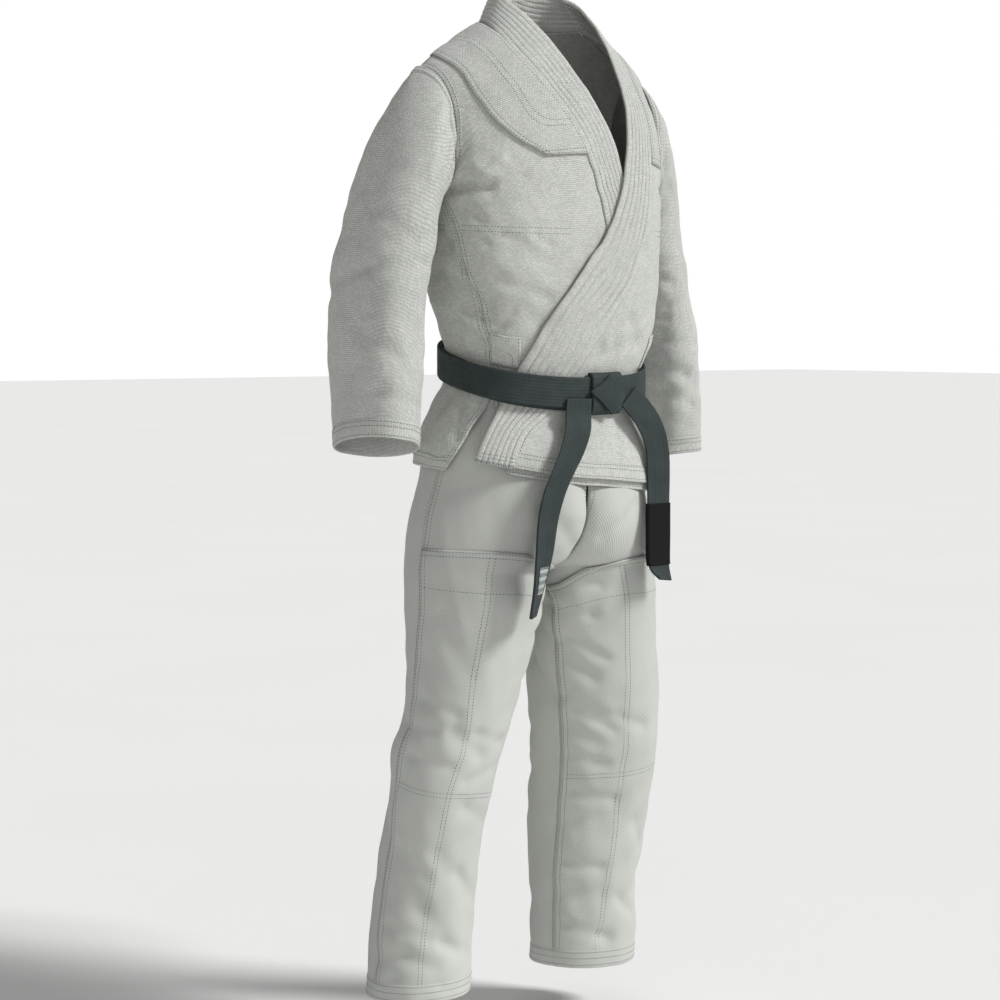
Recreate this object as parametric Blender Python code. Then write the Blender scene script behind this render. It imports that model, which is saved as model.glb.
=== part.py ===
"""Jiu-jitsu gi filled out by no one: jacket, trousers and belt. Metres, +Z up, facing -Y."""
from collections import namedtuple

import bmesh
import bpy
import numpy as np
from mathutils.bvhtree import BVHTree

# Heights in the tables are above the floor; HOLD is where shoulders and nape carry the jacket.
HOLD = np.array((0.0, 0.03, 1.46))

CLOTH = 0.002          # jacket and trouser cloth
SEAM = 0.0003          # clearance between neighbouring pieces
OVERLAY = 0.0015       # second layers: yoke, vent patches, knee patches
COLLAR_WIDTH = 0.053
COLLAR_THICK = 0.006
BELT_THICK = 0.004
BELT_WIDTH = 0.042
LAP = 0.0066           # the left front stands this far off the right one and its collar
CLEARANCE = 0.00022                       # kept between layers when one is lifted off another
LIFT_STEP = 0.00015
BESIDE = 0.006                            # between the body and the middle of the sleeve's inner side
RIDGE_GAP = 0.0011                        # between each panel's wall and the shoulder line
LIFT_ROUNDS = 60
ON_PANEL = CLOTH / 2 + SEAM + OVERLAY / 2

SQUARE = 2.4           # roundness of the torso's sections, 2 is an ellipse
ARMPIT = 1.245         # level of the armpits; above it the torso arches to the shoulder line
RISE = 0.2             # levels above ARMPIT run over this much, up to the shoulder line
RIDGE_LEVEL = ARMPIT + RISE
SPREAD = 0.2265        # shoulder line: x is this times the sine of the angle
TIP_ANGLE = 62.0       # angle of the shoulder tip, where the armhole crosses the shoulder line
NECK_ANGLE = 23.0      # angle of the neck point on the shoulder line
NAPE_DROP = 0.28       # the back of the neck lies this share of RISE below the shoulder line
BELT_LEVEL = 0.985     # middle of the belt
CROTCH = 0.70
RISE_TOP = 0.84        # the centre seams bend under the crotch below this level
ARM_STEPS = 10         # steps of the armhole from the shoulder tip to the armpit

Torso = namedtuple("Torso", "level half_width front back centre_x centre_y tilt roll")
TORSO = [
    Torso(0.80, 0.188, 0.126, 0.138, 0.0, 0.002, 0.013, 0.025),
    Torso(0.84, 0.186, 0.125, 0.136, 0.0, 0.002, 0.013, 0.025),
    Torso(0.90, 0.170, 0.118, 0.120, 0.002, 0.002, 0.020, 0.012),
    Torso(0.96, 0.146, 0.105, 0.100, 0.004, 0.002, 0.030, 0.0),
    Torso(1.00, 0.146, 0.105, 0.100, 0.004, 0.002, 0.030, 0.0),
    Torso(1.04, 0.160, 0.118, 0.110, 0.008, 0.002, 0.024, 0.0),
    Torso(1.10, 0.176, 0.126, 0.118, 0.005, 0.002, 0.012, 0.0),
    Torso(1.18, 0.184, 0.128, 0.122, 0.002, 0.002, 0.004, 0.0),
    Torso(1.245, 0.187, 0.126, 0.122, 0.0, 0.002, 0.0, 0.0),
]

Ridge = namedtuple("Ridge", "across y height")
RIDGE = [
    Ridge(0.0, 0.015, 1.512),
    Ridge(0.075, 0.015, 1.487),
    Ridge(0.14, 0.018, 1.452),
    Ridge(0.20, 0.020, 1.410),
    Ridge(0.235, 0.020, 1.375),
]

Edge = namedtuple("Edge", "level seam free")
FRONT_EDGE = {      # angle of the collar's seam edge and free edge, left front and right front
    1: [
        Edge(0.80, -42.0, -62.0),
        Edge(0.842, -40.0, -60.0),
        Edge(0.915, -34.0, -56.0),
        Edge(0.960, -22.0, -53.0),
        Edge(1.007, -10.0, -43.0),
        Edge(1.042, -3.0, -34.0),
        Edge(1.080, 4.0, -22.0),
        Edge(1.112, 13.0, -12.0),
        Edge(1.145, 21.0, -4.0),
        Edge(1.207, 30.0, 7.0),
        Edge(1.267, 33.0, 14.5),
        Edge(1.322, 33.0, 19.0),
        Edge(1.360, 32.0, 20.0),
        Edge(1.400, 29.0, 17.0),
        Edge(1.445, 23.0, 12.0),
    ],
    -1: [
        Edge(0.80, -42.0, -62.0),
        Edge(0.842, -40.0, -60.0),
        Edge(0.960, -30.0, -52.0),
        Edge(1.020, -26.0, -48.0),
        Edge(1.080, -19.0, -41.0),
        Edge(1.140, -11.0, -32.0),
        Edge(1.200, -5.0, -23.0),
        Edge(1.235, -3.0, -18.0),
        Edge(1.260, 0.0, -12.5),
        Edge(1.280, 4.0, -9.0),
        Edge(1.300, 10.0, -3.5),
        Edge(1.320, 16.0, 1.0),
        Edge(1.360, 24.0, 6.5),
        Edge(1.400, 26.0, 9.0),
        Edge(1.445, 23.0, 12.0),
    ],
}

Side = namedtuple("Side", "level front_angle back_angle")
SIDE_SEAM = {       # where front and back meet at the side, and part below the belt as a vent
    1: [
        Side(0.80, 50.0, 88.0),
        Side(0.852, 53.0, 75.0),
        Side(0.90, 57.0, 70.0),
        Side(0.955, 61.0, 64.0),
        Side(1.00, 61.0, 61.0),
        Side(1.057, 64.0, 64.0),
        Side(1.13, 72.0, 72.0),
        Side(1.19, 77.0, 77.0),
        Side(1.245, 90.0, 90.0),
    ],
    -1: [
        Side(0.80, 38.0, 88.0),
        Side(0.852, 43.0, 75.0),
        Side(0.90, 50.0, 70.0),
        Side(0.955, 61.0, 64.0),
        Side(1.00, 61.0, 61.0),
        Side(1.057, 64.0, 64.0),
        Side(1.13, 72.0, 72.0),
        Side(1.19, 77.0, 77.0),
        Side(1.245, 90.0, 90.0),
    ],
}

Overlay = namedtuple("Overlay", "level outer")
YOKE_EDGE = {       # outer edge of the shoulder reinforcement on the fronts
    1: [
        Overlay(1.267, 50.0),
        Overlay(1.300, 53.0),
        Overlay(1.340, 54.0),
        Overlay(1.400, 54.0),
        Overlay(1.445, 51.0),
    ],
    -1: [
        Overlay(1.267, 21.0),
        Overlay(1.278, 31.0),
        Overlay(1.295, 41.0),
        Overlay(1.330, 50.0),
        Overlay(1.380, 52.0),
        Overlay(1.417, 53.0),
        Overlay(1.445, 51.0),
    ],
}
YOKE_LOW = 1.267       # the reinforcement ends at this level in front
YOKE_DROP = 0.12       # and this far below the shoulder line's level at the middle of the back

Sleeve = namedtuple("Sleeve", "along x y z reach depth lean droop")
SLEEVE = {
    -1: [
        Sleeve(0.00, 0.188, 0.015, 1.327, 0.083, 0.075, 80.0, 0.0),
        Sleeve(0.12, 0.204, 0.015, 1.303, 0.067, 0.075, 58.0, 0.0),
        Sleeve(0.25, 0.233, 0.020, 1.245, 0.053, 0.080, 38.0, 0.0),
        Sleeve(0.40, 0.253, 0.022, 1.175, 0.054, 0.083, 15.0, 0.0),
        Sleeve(0.55, 0.267, 0.025, 1.110, 0.053, 0.084, 4.0, 0.0),
        Sleeve(0.75, 0.275, 0.020, 1.000, 0.051, 0.083, 0.0, 0.0),
        Sleeve(1.00, 0.280, 0.012, 0.880, 0.048, 0.072, 0.0, 0.012),
    ],
    1: [
        Sleeve(0.00, 0.188, 0.015, 1.327, 0.083, 0.075, 80.0, 0.0),
        Sleeve(0.12, 0.200, 0.025, 1.305, 0.066, 0.073, 58.0, 0.0),
        Sleeve(0.25, 0.228, 0.043, 1.250, 0.050, 0.074, 38.0, 0.0),
        Sleeve(0.40, 0.235, 0.048, 1.175, 0.046, 0.078, 12.0, 0.0),
        Sleeve(0.55, 0.251, 0.050, 1.105, 0.048, 0.082, 4.0, 0.0),
        Sleeve(0.75, 0.274, 0.055, 0.990, 0.049, 0.082, 0.0, 0.0),
        Sleeve(1.00, 0.290, 0.058, 0.852, 0.048, 0.072, 0.0, 0.004),
    ],
}
CAP = 0.20             # the sleeve takes its own section over this share of its length

Leg = namedtuple("Leg", "level outer_x inner_x centre_y front back shear")
LEG = {
    -1: [
        Leg(0.075, 0.238, 0.080, 0.082, 0.068, 0.070, 0.004),
        Leg(0.20, 0.232, 0.074, 0.078, 0.072, 0.074, 0.010),
        Leg(0.30, 0.228, 0.068, 0.066, 0.078, 0.076, 0.016),
        Leg(0.40, 0.222, 0.056, 0.046, 0.082, 0.080, 0.020),
        Leg(0.50, 0.211, 0.036, 0.028, 0.084, 0.082, 0.018),
        Leg(0.60, 0.210, 0.018, 0.016, 0.088, 0.092, 0.006),
        Leg(0.68, 0.209, 0.006, 0.010, 0.094, 0.102, 0.0),
        Leg(0.70, 0.209, 0.0, 0.010, 0.094, 0.104, 0.0),
        Leg(0.76, 0.205, 0.0, 0.006, 0.075, 0.090, 0.0),
        Leg(0.84, 0.187, 0.0, 0.002, 0.058, 0.068, 0.0),
    ],
    1: [
        Leg(0.075, 0.231, 0.080, 0.085, 0.070, 0.070, 0.008),
        Leg(0.20, 0.232, 0.074, 0.080, 0.074, 0.074, 0.010),
        Leg(0.30, 0.234, 0.066, 0.066, 0.078, 0.076, 0.016),
        Leg(0.40, 0.230, 0.055, 0.046, 0.082, 0.080, 0.020),
        Leg(0.50, 0.221, 0.036, 0.028, 0.084, 0.082, 0.018),
        Leg(0.60, 0.210, 0.018, 0.016, 0.088, 0.090, 0.008),
        Leg(0.68, 0.205, 0.006, 0.010, 0.094, 0.098, 0.0),
        Leg(0.70, 0.204, 0.0, 0.010, 0.094, 0.100, 0.0),
        Leg(0.76, 0.198, 0.0, 0.006, 0.075, 0.084, 0.0),
        Leg(0.84, 0.185, 0.0, 0.002, 0.058, 0.066, 0.0),
    ],
}
SEAT_FRONT, SEAT_BACK = -0.112, 0.124     # y of the centre seams at RISE_TOP
OUTSEAM = 4.0                             # angle of the outseam round the leg
LEG_HEM = 0.075
PATCH_BEND = 0.60                         # level from which its rows come down with it
COLLAR_GAP = 0.0010                       # from each front's edge to the collar's seam line
LAPEL_HEM = 0.843
BACK_HEM = 0.822
FRONT_HEM = {-1: 0.835, 1: 0.845}
BELT_DROP = 0.004                         # the inner turn lies this much lower in front
WAIST_THICK = 0.003
WAIST_LEVELS = (0.965, 0.985, 1.005)
PATCH_ANGLES = (62.5, 41.0)               # sides of the vent patches
PATCH_LEVELS = (1.010, 1.050)
BAR_STEPS = (6.0, 8.0)                    # where the bar's sleeve lies on the left end
BAR_THICK = 0.0012
TAG_STEPS = (7.3, 8.2)
TAG_WIDTH = 0.026
TAG_THICK = 0.0008
INSEAM_TURN = 17.0                        # the inseam lies this far to the front of the inner side
COLLAR_FOOT = (0.024, 0.06)               # start of its width where it lies flat, and where it stands
VENT_TOP = 0.985
LEG_APART = 0.1                           # from the middle plane to each leg's middle
PANEL_COLUMNS = 9
PATCH_TOP = {-1: 0.735, 1: 0.715}         # the double seam above each knee patch
PATCH_DIP = 0.046                         # how far it comes down to the inseam
HIP_LOW, HIP_HIGH = 0.79, 0.87            # the trousers leave the jacket's form between these

Inset = namedtuple("Inset", "level depth")
INSET = [             # how deep the trousers lie under the jacket's form
    Inset(0.78, 0.008),
    Inset(0.86, 0.009),
    Inset(0.92, 0.010),
    Inset(0.965, 0.0028),
    Inset(1.01, 0.0028),
]

Fold = namedtuple("Fold", "angle_a level_a angle_b level_b width rise")
TORSO_FOLDS = [      # right side, then left side and front, back, skirt
    Fold(-73, 1.242, -52, 1.242, 0.009, -0.005),
    Fold(-52, 1.242, -33, 1.252, 0.008, -0.004),
    Fold(-59, 1.262, -47, 1.250, 0.009, 0.004),
    Fold(-95, 1.200, -83, 1.165, 0.010, -0.006),
    Fold(-94, 1.125, -61, 1.080, 0.014, -0.012),
    Fold(-103, 1.082, -71, 1.067, 0.009, 0.005),
    Fold(-85, 1.062, -67, 1.032, 0.009, -0.007),
    Fold(-65, 1.112, -26, 1.067, 0.016, -0.0025),
    Fold(52, 1.245, 74, 1.240, 0.009, -0.005),
    Fold(96, 1.200, 82, 1.160, 0.010, -0.006),
    Fold(96, 1.120, 66, 1.085, 0.014, -0.009),
    Fold(88, 1.060, 70, 1.035, 0.010, -0.006),
    Fold(1, 1.030, 25, 1.052, 0.010, -0.004),
    Fold(1, 1.040, 17, 1.077, 0.009, -0.0035),
    Fold(6, 1.132, 28, 1.167, 0.009, -0.004),
    Fold(122, 1.235, 152, 1.190, 0.012, -0.005),
    Fold(238, 1.240, 206, 1.200, 0.012, -0.005),
    Fold(128, 1.085, 170, 1.050, 0.013, -0.007),
    Fold(178, 1.080, 232, 1.055, 0.014, -0.006),
    Fold(150, 1.130, 214, 1.120, 0.018, -0.004),
    Fold(-22, 0.955, -21, 0.930, 0.008, -0.004),
    Fold(-21, 0.930, -28, 0.897, 0.008, -0.003),
    Fold(150, 0.955, 156, 0.880, 0.010, -0.004),
    Fold(206, 0.955, 198, 0.890, 0.010, -0.004),
    Fold(262, 0.950, 255, 0.870, 0.011, -0.004),
]
SLEEVE_FOLDS = {
    -1: [
        Fold(318, 0.41, 64, 0.45, 0.018, -0.003),
        Fold(0, 0.60, 94, 0.67, 0.022, -0.004),
        Fold(8, 0.78, 102, 0.72, 0.018, -0.003),
        Fold(150, 0.50, 250, 0.54, 0.014, -0.005),
        Fold(150, 0.60, 235, 0.62, 0.012, -0.005),
        Fold(200, 0.74, 290, 0.80, 0.016, -0.004),
    ],
    1: [
        Fold(134, 0.50, 106, 0.53, 0.009, -0.004),
        Fold(144, 0.62, 124, 0.63, 0.009, -0.004),
        Fold(162, 0.73, 96, 0.78, 0.010, -0.006),
        Fold(80, 0.81, 156, 0.88, 0.011, -0.004),
        Fold(122, 0.29, 92, 0.24, 0.010, -0.005),
        Fold(190, 0.52, 270, 0.56, 0.014, -0.005),
        Fold(200, 0.70, 300, 0.76, 0.016, -0.004),
    ],
}
LEG_FOLDS = {
    -1: [
        Fold(-1, 0.480, 38, 0.477, 0.012, -0.004),
        Fold(62, 0.474, 98, 0.441, 0.013, -0.0045),
        Fold(90, 0.402, 126, 0.414, 0.011, -0.004),
        Fold(-1, 0.327, 53, 0.213, 0.028, -0.006),
        Fold(2, 0.132, 42, 0.144, 0.014, -0.004),
        Fold(42, 0.144, 76, 0.126, 0.014, -0.005),
        Fold(62, 0.210, 104, 0.141, 0.015, -0.004),
        Fold(72, 0.294, 119, 0.222, 0.015, -0.004),
        Fold(170, 0.630, 130, 0.600, 0.014, -0.005),
        Fold(172, 0.560, 140, 0.530, 0.014, -0.004),
        Fold(300, 0.430, 345, 0.440, 0.030, 0.008),
        Fold(215, 0.450, 300, 0.470, 0.016, -0.006),
        Fold(220, 0.380, 310, 0.370, 0.016, -0.006),
        Fold(210, 0.180, 300, 0.150, 0.018, -0.005),
        Fold(200, 0.640, 270, 0.680, 0.018, -0.005),
    ],
    1: [
        Fold(192, 0.621, 162, 0.582, 0.011, -0.005),
        Fold(198, 0.558, 167, 0.498, 0.011, -0.007),
        Fold(154, 0.564, 132, 0.531, 0.011, -0.005),
        Fold(155, 0.504, 122, 0.468, 0.012, -0.005),
        Fold(156, 0.453, 130, 0.429, 0.013, -0.004),
        Fold(160, 0.666, 114, 0.684, 0.012, -0.005),
        Fold(155, 0.300, 110, 0.318, 0.018, -0.004),
        Fold(161, 0.189, 114, 0.189, 0.016, -0.003),
        Fold(106, 0.123, 46, 0.207, 0.015, -0.005),
        Fold(215, 0.440, 305, 0.460, 0.016, -0.006),
        Fold(222, 0.375, 300, 0.365, 0.016, -0.005),
        Fold(212, 0.170, 305, 0.150, 0.018, -0.005),
        Fold(202, 0.650, 275, 0.690, 0.018, -0.005),
        Fold(20, 0.400, 352, 0.390, 0.018, -0.004),
    ],
}


def smooth(rows, key):
    """The table's columns at key, on a smooth curve through its rows."""
    table = np.array(rows, float)
    knots, values = table[:, 0], table[:, 1:]
    slopes = np.gradient(values, knots, axis=0)
    key = np.clip(np.asarray(key, float), knots[0], knots[-1])
    i = np.clip(np.searchsorted(knots, key, side="right") - 1, 0, len(knots) - 2)
    span = (knots[i + 1] - knots[i])[..., None]
    t = (key - knots[i])[..., None] / span
    value = ((1 + 2 * t) * (1 - t) ** 2 * values[i] + t * (1 - t) ** 2 * span * slopes[i]
             + t * t * (3 - 2 * t) * values[i + 1] + t * t * (t - 1) * span * slopes[i + 1])
    return type(rows[0])(key, *np.moveaxis(value, -1, 0))


def ramp(value, start, end):
    """0 at start, 1 at end, eased."""
    t = np.clip((value - start) / (end - start), 0.0, 1.0)
    return t * t * (3 - 2 * t)


def rounded(value):
    return np.sign(value) * np.abs(value) ** (2 / SQUARE)


def unit(vector):
    return vector / np.linalg.norm(vector, axis=-1, keepdims=True)


def facing(surface, s, t, step_s, step_t):
    """Unit normal of a surface of two numbers."""
    ds = surface(s + step_s, t) - surface(s - step_s, t)
    dt = surface(s, t + step_t) - surface(s, t - step_t)
    return unit(np.cross(ds, dt))


def fold_height(points, folds, spot):
    """Soft troughs and ridges: each runs straight between two spots of the surface."""
    height = np.zeros(points.shape[:-1])
    for fold in folds:
        start = spot(fold.angle_a, fold.level_a)
        line = spot(fold.angle_b, fold.level_b) - start
        share = np.clip(((points - start) @ line) / (line @ line), 0.0, 1.0)
        gap = np.linalg.norm(points - start - share[..., None] * line, axis=-1)
        height += fold.rise * np.exp(-(gap / fold.width) ** 2)
    return height


def bare_torso(angle, level):
    """The jacket's body without folds: angle 0 is its front, 90 its left side, 180 its back."""
    angle, level = np.broadcast_arrays(np.asarray(angle, float), np.asarray(level, float))
    ring = smooth(TORSO, np.minimum(level, ARMPIT))
    turn = np.radians(angle)
    depth = np.where(np.cos(turn) > 0, ring.front, ring.back)
    x = ring.centre_x + ring.half_width * rounded(np.sin(turn))
    y = ring.centre_y - depth * rounded(np.cos(turn))
    z = np.minimum(level, ARMPIT) - ring.tilt * np.cos(turn) - ring.roll * np.sin(turn)
    lift = np.maximum(level - ARMPIT, 0.0) / RISE * np.pi / 2
    ridge_x = SPREAD * np.sin(turn)
    ridge = smooth(RIDGE, np.abs(ridge_x))
    over, up = 1 - np.cos(lift), np.sin(lift)
    return np.stack([x + (ridge_x - x) * over, y + (ridge.y - y) * over, z + (ridge.height - z) * up], -1)


def torso(angle, level, off=0.0):
    """The jacket's body with its folds, moved out by off."""
    angle, level = np.broadcast_arrays(np.asarray(angle, float), np.asarray(level, float))
    points = bare_torso(angle, level)
    normal = facing(bare_torso, angle, level, 0.5, 0.002)
    folds = fold_height(points, TORSO_FOLDS, bare_torso) * ramp(np.abs(level - BELT_LEVEL), 0.024, 0.05)
    return points + normal * (off + folds)[..., None]


def lap(angle, level):
    """How far the left front stands off the right one."""
    return LAP * ramp(angle, 86.0, 62.0) * ramp(level, 1.36, 1.29)


def front_side(side, level):
    """Angle of a front's outer edge: vent, side seam, then armhole."""
    share = np.clip((level - ARMPIT) / RISE, 0.0, 1.0)
    arm = 90.0 - (90.0 - TIP_ANGLE) * np.sqrt(1 - (1 - share) ** 2)
    return np.where(level > ARMPIT, arm, smooth(SIDE_SEAM[side], level).front_angle)


def back_side(side, level):
    share = np.clip((level - ARMPIT) / RISE, 0.0, 1.0)
    arm = 90.0 + (90.0 - TIP_ANGLE) * np.sqrt(1 - (1 - share) ** 2)
    low = np.where(level > VENT_TOP, smooth(SIDE_SEAM[side], level).front_angle,
                   smooth(SIDE_SEAM[side], level).back_angle)
    return np.where(level > ARMPIT, arm, low)


def degrees_for(width, radius=0.15):
    return np.degrees(width / radius)


class Cloth:
    """A closed wall on a grid of places: place(s, t) is its middle, for s in across and t in along."""

    def __init__(self, name, place, across, along, thick, material, ring=False, side=0, room=0.0, push=None):
        self.name, self.thick, self.material, self.ring = name, thick, material, ring
        self.side = side          # a wall with a side stays there, where its twin begins
        across, along = np.asarray(across, float), np.asarray(along, float)
        s, t = np.meshgrid(across, along, indexing="ij")
        step_s, step_t = np.ptp(across) * 2e-4, np.ptp(along) * 2e-4
        low, high = (s - step_s, s + step_s) if ring else (
            np.maximum(s - step_s, across.min()), np.minimum(s + step_s, across.max()))
        under, over = np.maximum(t - step_t, along.min()), np.minimum(t + step_t, along.max())
        self.middle = place(s, t)
        self.normal = unit(np.cross(place(high, t) - place(low, t), place(s, over) - place(s, under)))
        if side:
            reach = SEAM / 2 + (thick / 2 + room) * np.abs(self.normal[..., 0])
            self.middle[..., 0] = side * np.maximum(side * self.middle[..., 0], reach)
        centre = self.middle.mean(axis=0, keepdims=True) if ring else np.array((side * LEG_APART, 0.01, 0.0))
        away = (self.middle - centre) * (1.0, 1.0, 1.0 if ring else 0.0)
        if (self.normal * away).sum() < 0:
            self.normal = -self.normal
        self.push = self.normal if push is None else unit(np.array(push, float))
        self.lift = np.zeros(s.shape)
        self.grid(len(across) - 1, len(along) - 1)
        self.shape()
        bmesh.ops.recalc_face_normals(self.bm, faces=self.bm.faces)
        if self.bm.calc_volume(signed=True) < 0:
            bmesh.ops.reverse_faces(self.bm, faces=self.bm.faces)
        bmesh.ops.triangulate(self.bm, faces=self.bm.faces)

    def grid(self, columns, rows):
        bm = self.bm = bmesh.new()
        bmesh.ops.create_grid(bm, x_segments=columns, y_segments=rows, size=0.5)
        if self.ring:
            first = {round((v.co.y + 0.5) * rows): v for v in bm.verts if v.co.x < -0.49}
            ends = {v: first[round((v.co.y + 0.5) * rows)] for v in bm.verts if v.co.x > 0.49}
            bmesh.ops.weld_verts(bm, targetmap=ends)
        grown = set(bmesh.ops.extrude_face_region(bm, geom=bm.faces[:], use_keep_orig=True)["geom"])
        self.spot = {v: (round((v.co.x + 0.5) * columns), round((v.co.y + 0.5) * rows), v in grown)
                     for v in bm.verts}

    def shape(self, margin=0.0):
        """Put the wall's points in place, thicker by a margin for a test."""
        middle = self.middle + self.push * self.lift[..., None] - HOLD
        outer = middle + self.normal * (self.thick / 2 + margin)
        inner = middle - self.normal * (self.thick / 2 + margin)
        for points in (outer, inner):
            if self.side:
                points[..., 0] = self.side * np.maximum(self.side * points[..., 0], SEAM / 2)
        for v, (i, j, grown) in self.spot.items():
            v.co = outer[i, j] if grown else inner[i, j]

    def clear(self, others, way=1, first=0):
        """Lift the wall out (way 1) or in (-1) until it clears the others, from one row on."""
        trees = [BVHTree.FromBMesh(other.bm) for other in others if other is not self]
        if self in others:
            points = [v.co.copy() for v in self.bm.verts]
            self.bm.verts.index_update()
            faces = [[v.index for v in f.verts] for f in self.bm.faces
                     if all(self.spot[v][1] < first for v in f.verts)]
            trees.append(BVHTree.FromPolygons(points, faces))
        for _ in range(LIFT_ROUNDS):
            self.shape(CLEARANCE)
            own = BVHTree.FromBMesh(self.bm)
            self.bm.faces.ensure_lookup_table()
            hit = {pair[0] for tree in trees for pair in own.overlap(tree)}
            spots = {self.spot[v][:2] for face in hit for v in self.bm.faces[face].verts}
            spots = {spot for spot in spots if spot[1] >= first}
            if not spots:
                break
            raised = np.zeros(self.lift.shape)
            for i, j in spots:
                around = raised[max(i - 1, 0):i + 2, max(j - 1, 0):j + 2]
                np.maximum(around, 0.4, out=around)
            for spot in spots:
                raised[spot] = 1.0
            self.lift += way * LIFT_STEP * raised
            if self.ring:
                self.lift[0] = self.lift[-1] = way * np.maximum(way * self.lift[0], way * self.lift[-1])
        self.shape()
        return self

    def make(self):
        mesh = bpy.data.meshes.new(self.name)
        self.bm.to_mesh(mesh)
        self.bm.free()
        mesh.shade_smooth()
        mesh.materials.append(self.material)
        bpy.context.scene.collection.objects.link(bpy.data.objects.new(self.name, mesh))


def finish(name, colour, roughness):
    material = bpy.data.materials.new(name)
    material.use_nodes = True
    shader = material.node_tree.nodes["Principled BSDF"]
    shader.inputs["Base Color"].default_value = (*colour, 1.0)
    shader.inputs["Roughness"].default_value = roughness
    shader.inputs["Metallic"].default_value = 0.0
    return material


def arm_levels():
    """Levels of the rows beside the armhole, which the sleeve's first ring shares."""
    steps = np.arange(ARM_STEPS, -1, -1) * np.pi / 2 / ARM_STEPS
    return ARMPIT + RISE * (1 - np.sin(steps))


def body_levels(hem, rows=12):
    return np.concatenate([[hem], np.linspace(0.865, ARMPIT, rows)[:-1], arm_levels()])


def front_panel(side, hem, material):
    """One front, from its side or armhole to the collar's seam edge."""
    def place(share, level):
        outer = front_side(side, level) - degrees_for(SEAM / 2)
        inner = smooth(FRONT_EDGE[side], level).seam + degrees_for(COLLAR_GAP)
        angle = outer + (inner - outer) * share
        off = lap(angle, level) if side > 0 else 0.0
        return torso(side * angle, level, off)
    name = "jacket_front_" + ("left" if side > 0 else "right")
    levels = np.minimum(body_levels(hem), RIDGE_LEVEL - RIDGE_GAP)
    return Cloth(name, place, np.linspace(0, 1, 12), levels, CLOTH, material)


def neck_level(angle):
    """Level of the back panel's upper edge: the shoulder line, then down round the nape."""
    across = np.sin(np.radians(angle)) / np.sin(np.radians(NECK_ANGLE))
    dip = np.sqrt(np.clip(1 - across ** 2, 0.0, 1.0))
    return RIDGE_LEVEL - NAPE_DROP * RISE * dip


def back_panel(hem, material):
    """The back, from the right side round to the left, up to the shoulder line and the nape."""
    shares = np.concatenate([np.linspace(0, 0.5 - NECK_ANGLE / (2 * TIP_ANGLE), 6)[:-1],
                             0.5 - NECK_ANGLE / (2 * TIP_ANGLE) * np.cos(np.linspace(0, np.pi, 7)),
                             np.linspace(0.5 + NECK_ANGLE / (2 * TIP_ANGLE), 1, 6)[1:]])

    def place(share, level):
        start = back_side(1, level) + degrees_for(SEAM / 2)
        end = 360.0 - back_side(-1, level) - degrees_for(SEAM / 2)
        angle = start + (end - start) * share
        rise = np.clip((level - ARMPIT) / RISE, 0.0, 1.0)
        top = np.minimum(neck_level(angle), RIDGE_LEVEL) - RIDGE_GAP
        level = np.where(level > ARMPIT, ARMPIT + rise * (top - ARMPIT), level)
        return torso(angle, level)
    return Cloth("jacket_back", place, shares, body_levels(hem), CLOTH, material)


def collar_place(share, station):
    """The collar: station runs -2 (right hem), -1 (right neck point), 1 (left), 2 (left hem)."""
    side = np.where(station < 0, -1, 1)
    along = np.abs(station)
    front_level = RIDGE_LEVEL - (RIDGE_LEVEL - LAPEL_HEM) * np.clip(along - 1, 0.0, 1.0)
    back_angle = 180.0 - NECK_ANGLE * np.sin(np.clip(along, 0.0, 1.0) * np.pi / 2)
    edges = [smooth(FRONT_EDGE[s], front_level) for s in (-1, 1)]
    seam = np.where(side < 0, edges[0].seam, edges[1].seam)
    free = np.where(side < 0, edges[0].free, edges[1].free)
    angle = np.where(along > 1, seam, back_angle)
    level = np.where(along > 1, front_level, neck_level(back_angle))
    off = np.where((side > 0) & (along > 1), lap(seam, level), 0.0)
    edge = torso(side * angle, level, off)
    off_free = np.where((side > 0) & (along > 1), lap(free, level), 0.0)
    lying = torso(side * (seam + (free - seam) * share), front_level, off_free * share + off * (1 - share))
    lying_free = torso(side * free, front_level, off_free)
    lying_end = lying_free - edge
    radial = edge - np.array((0.0, 0.02, 0.0))
    radial[..., 2] = 0.0
    radial = unit(radial)
    lean = 0.25 + 0.4 * np.clip(along, 0.0, 1.0) ** 2
    stand = unit(np.array((0.0, 0.0, 1.0)) - radial * lean[..., None]) * COLLAR_WIDTH
    upright = ramp(front_level, 1.30, RIDGE_LEVEL)
    upright = np.where(along > 1, upright, 1.0)[..., None]
    foot = COLLAR_FOOT[0] + (COLLAR_FOOT[1] - COLLAR_FOOT[0]) * upright[..., 0]
    share = foot + (1 - foot) * share
    chord = lying_end * (1 - upright) + stand * upright
    length = np.linalg.norm(lying_end, axis=-1, keepdims=True) * (1 - upright) + COLLAR_WIDTH * upright
    chord = unit(chord) * length
    sag = (lying - edge - lying_end * share[..., None]) * (1 - upright)
    return edge + chord * share[..., None] + sag


def collar(material):
    shares = np.linspace(0.0, 1.0, 4)
    down = 1 + (RIDGE_LEVEL - body_levels(LAPEL_HEM)[::-1]) / (RIDGE_LEVEL - LAPEL_HEM)
    stations = np.concatenate([-down[:0:-1], np.linspace(-1, 1, 13), down[1:]])
    return Cloth("collar", collar_place, shares, stations, COLLAR_THICK, material)


def armhole(side, around, off=CLOTH + SEAM + 0.00005):
    """The armhole's loop: around 0 is the shoulder tip, 90 in front, 180 the armpit."""
    around = np.mod(around, 360.0)
    turn = np.radians(np.where(around > 180, 360 - around, around) / 2)
    angle = 90.0 - (90.0 - TIP_ANGLE) * np.cos(turn)
    angle = np.where(around > 180, 180.0 - angle, angle)
    level = ARMPIT + RISE * (1 - np.sin(turn))
    return torso(side * angle, level, off)


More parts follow.
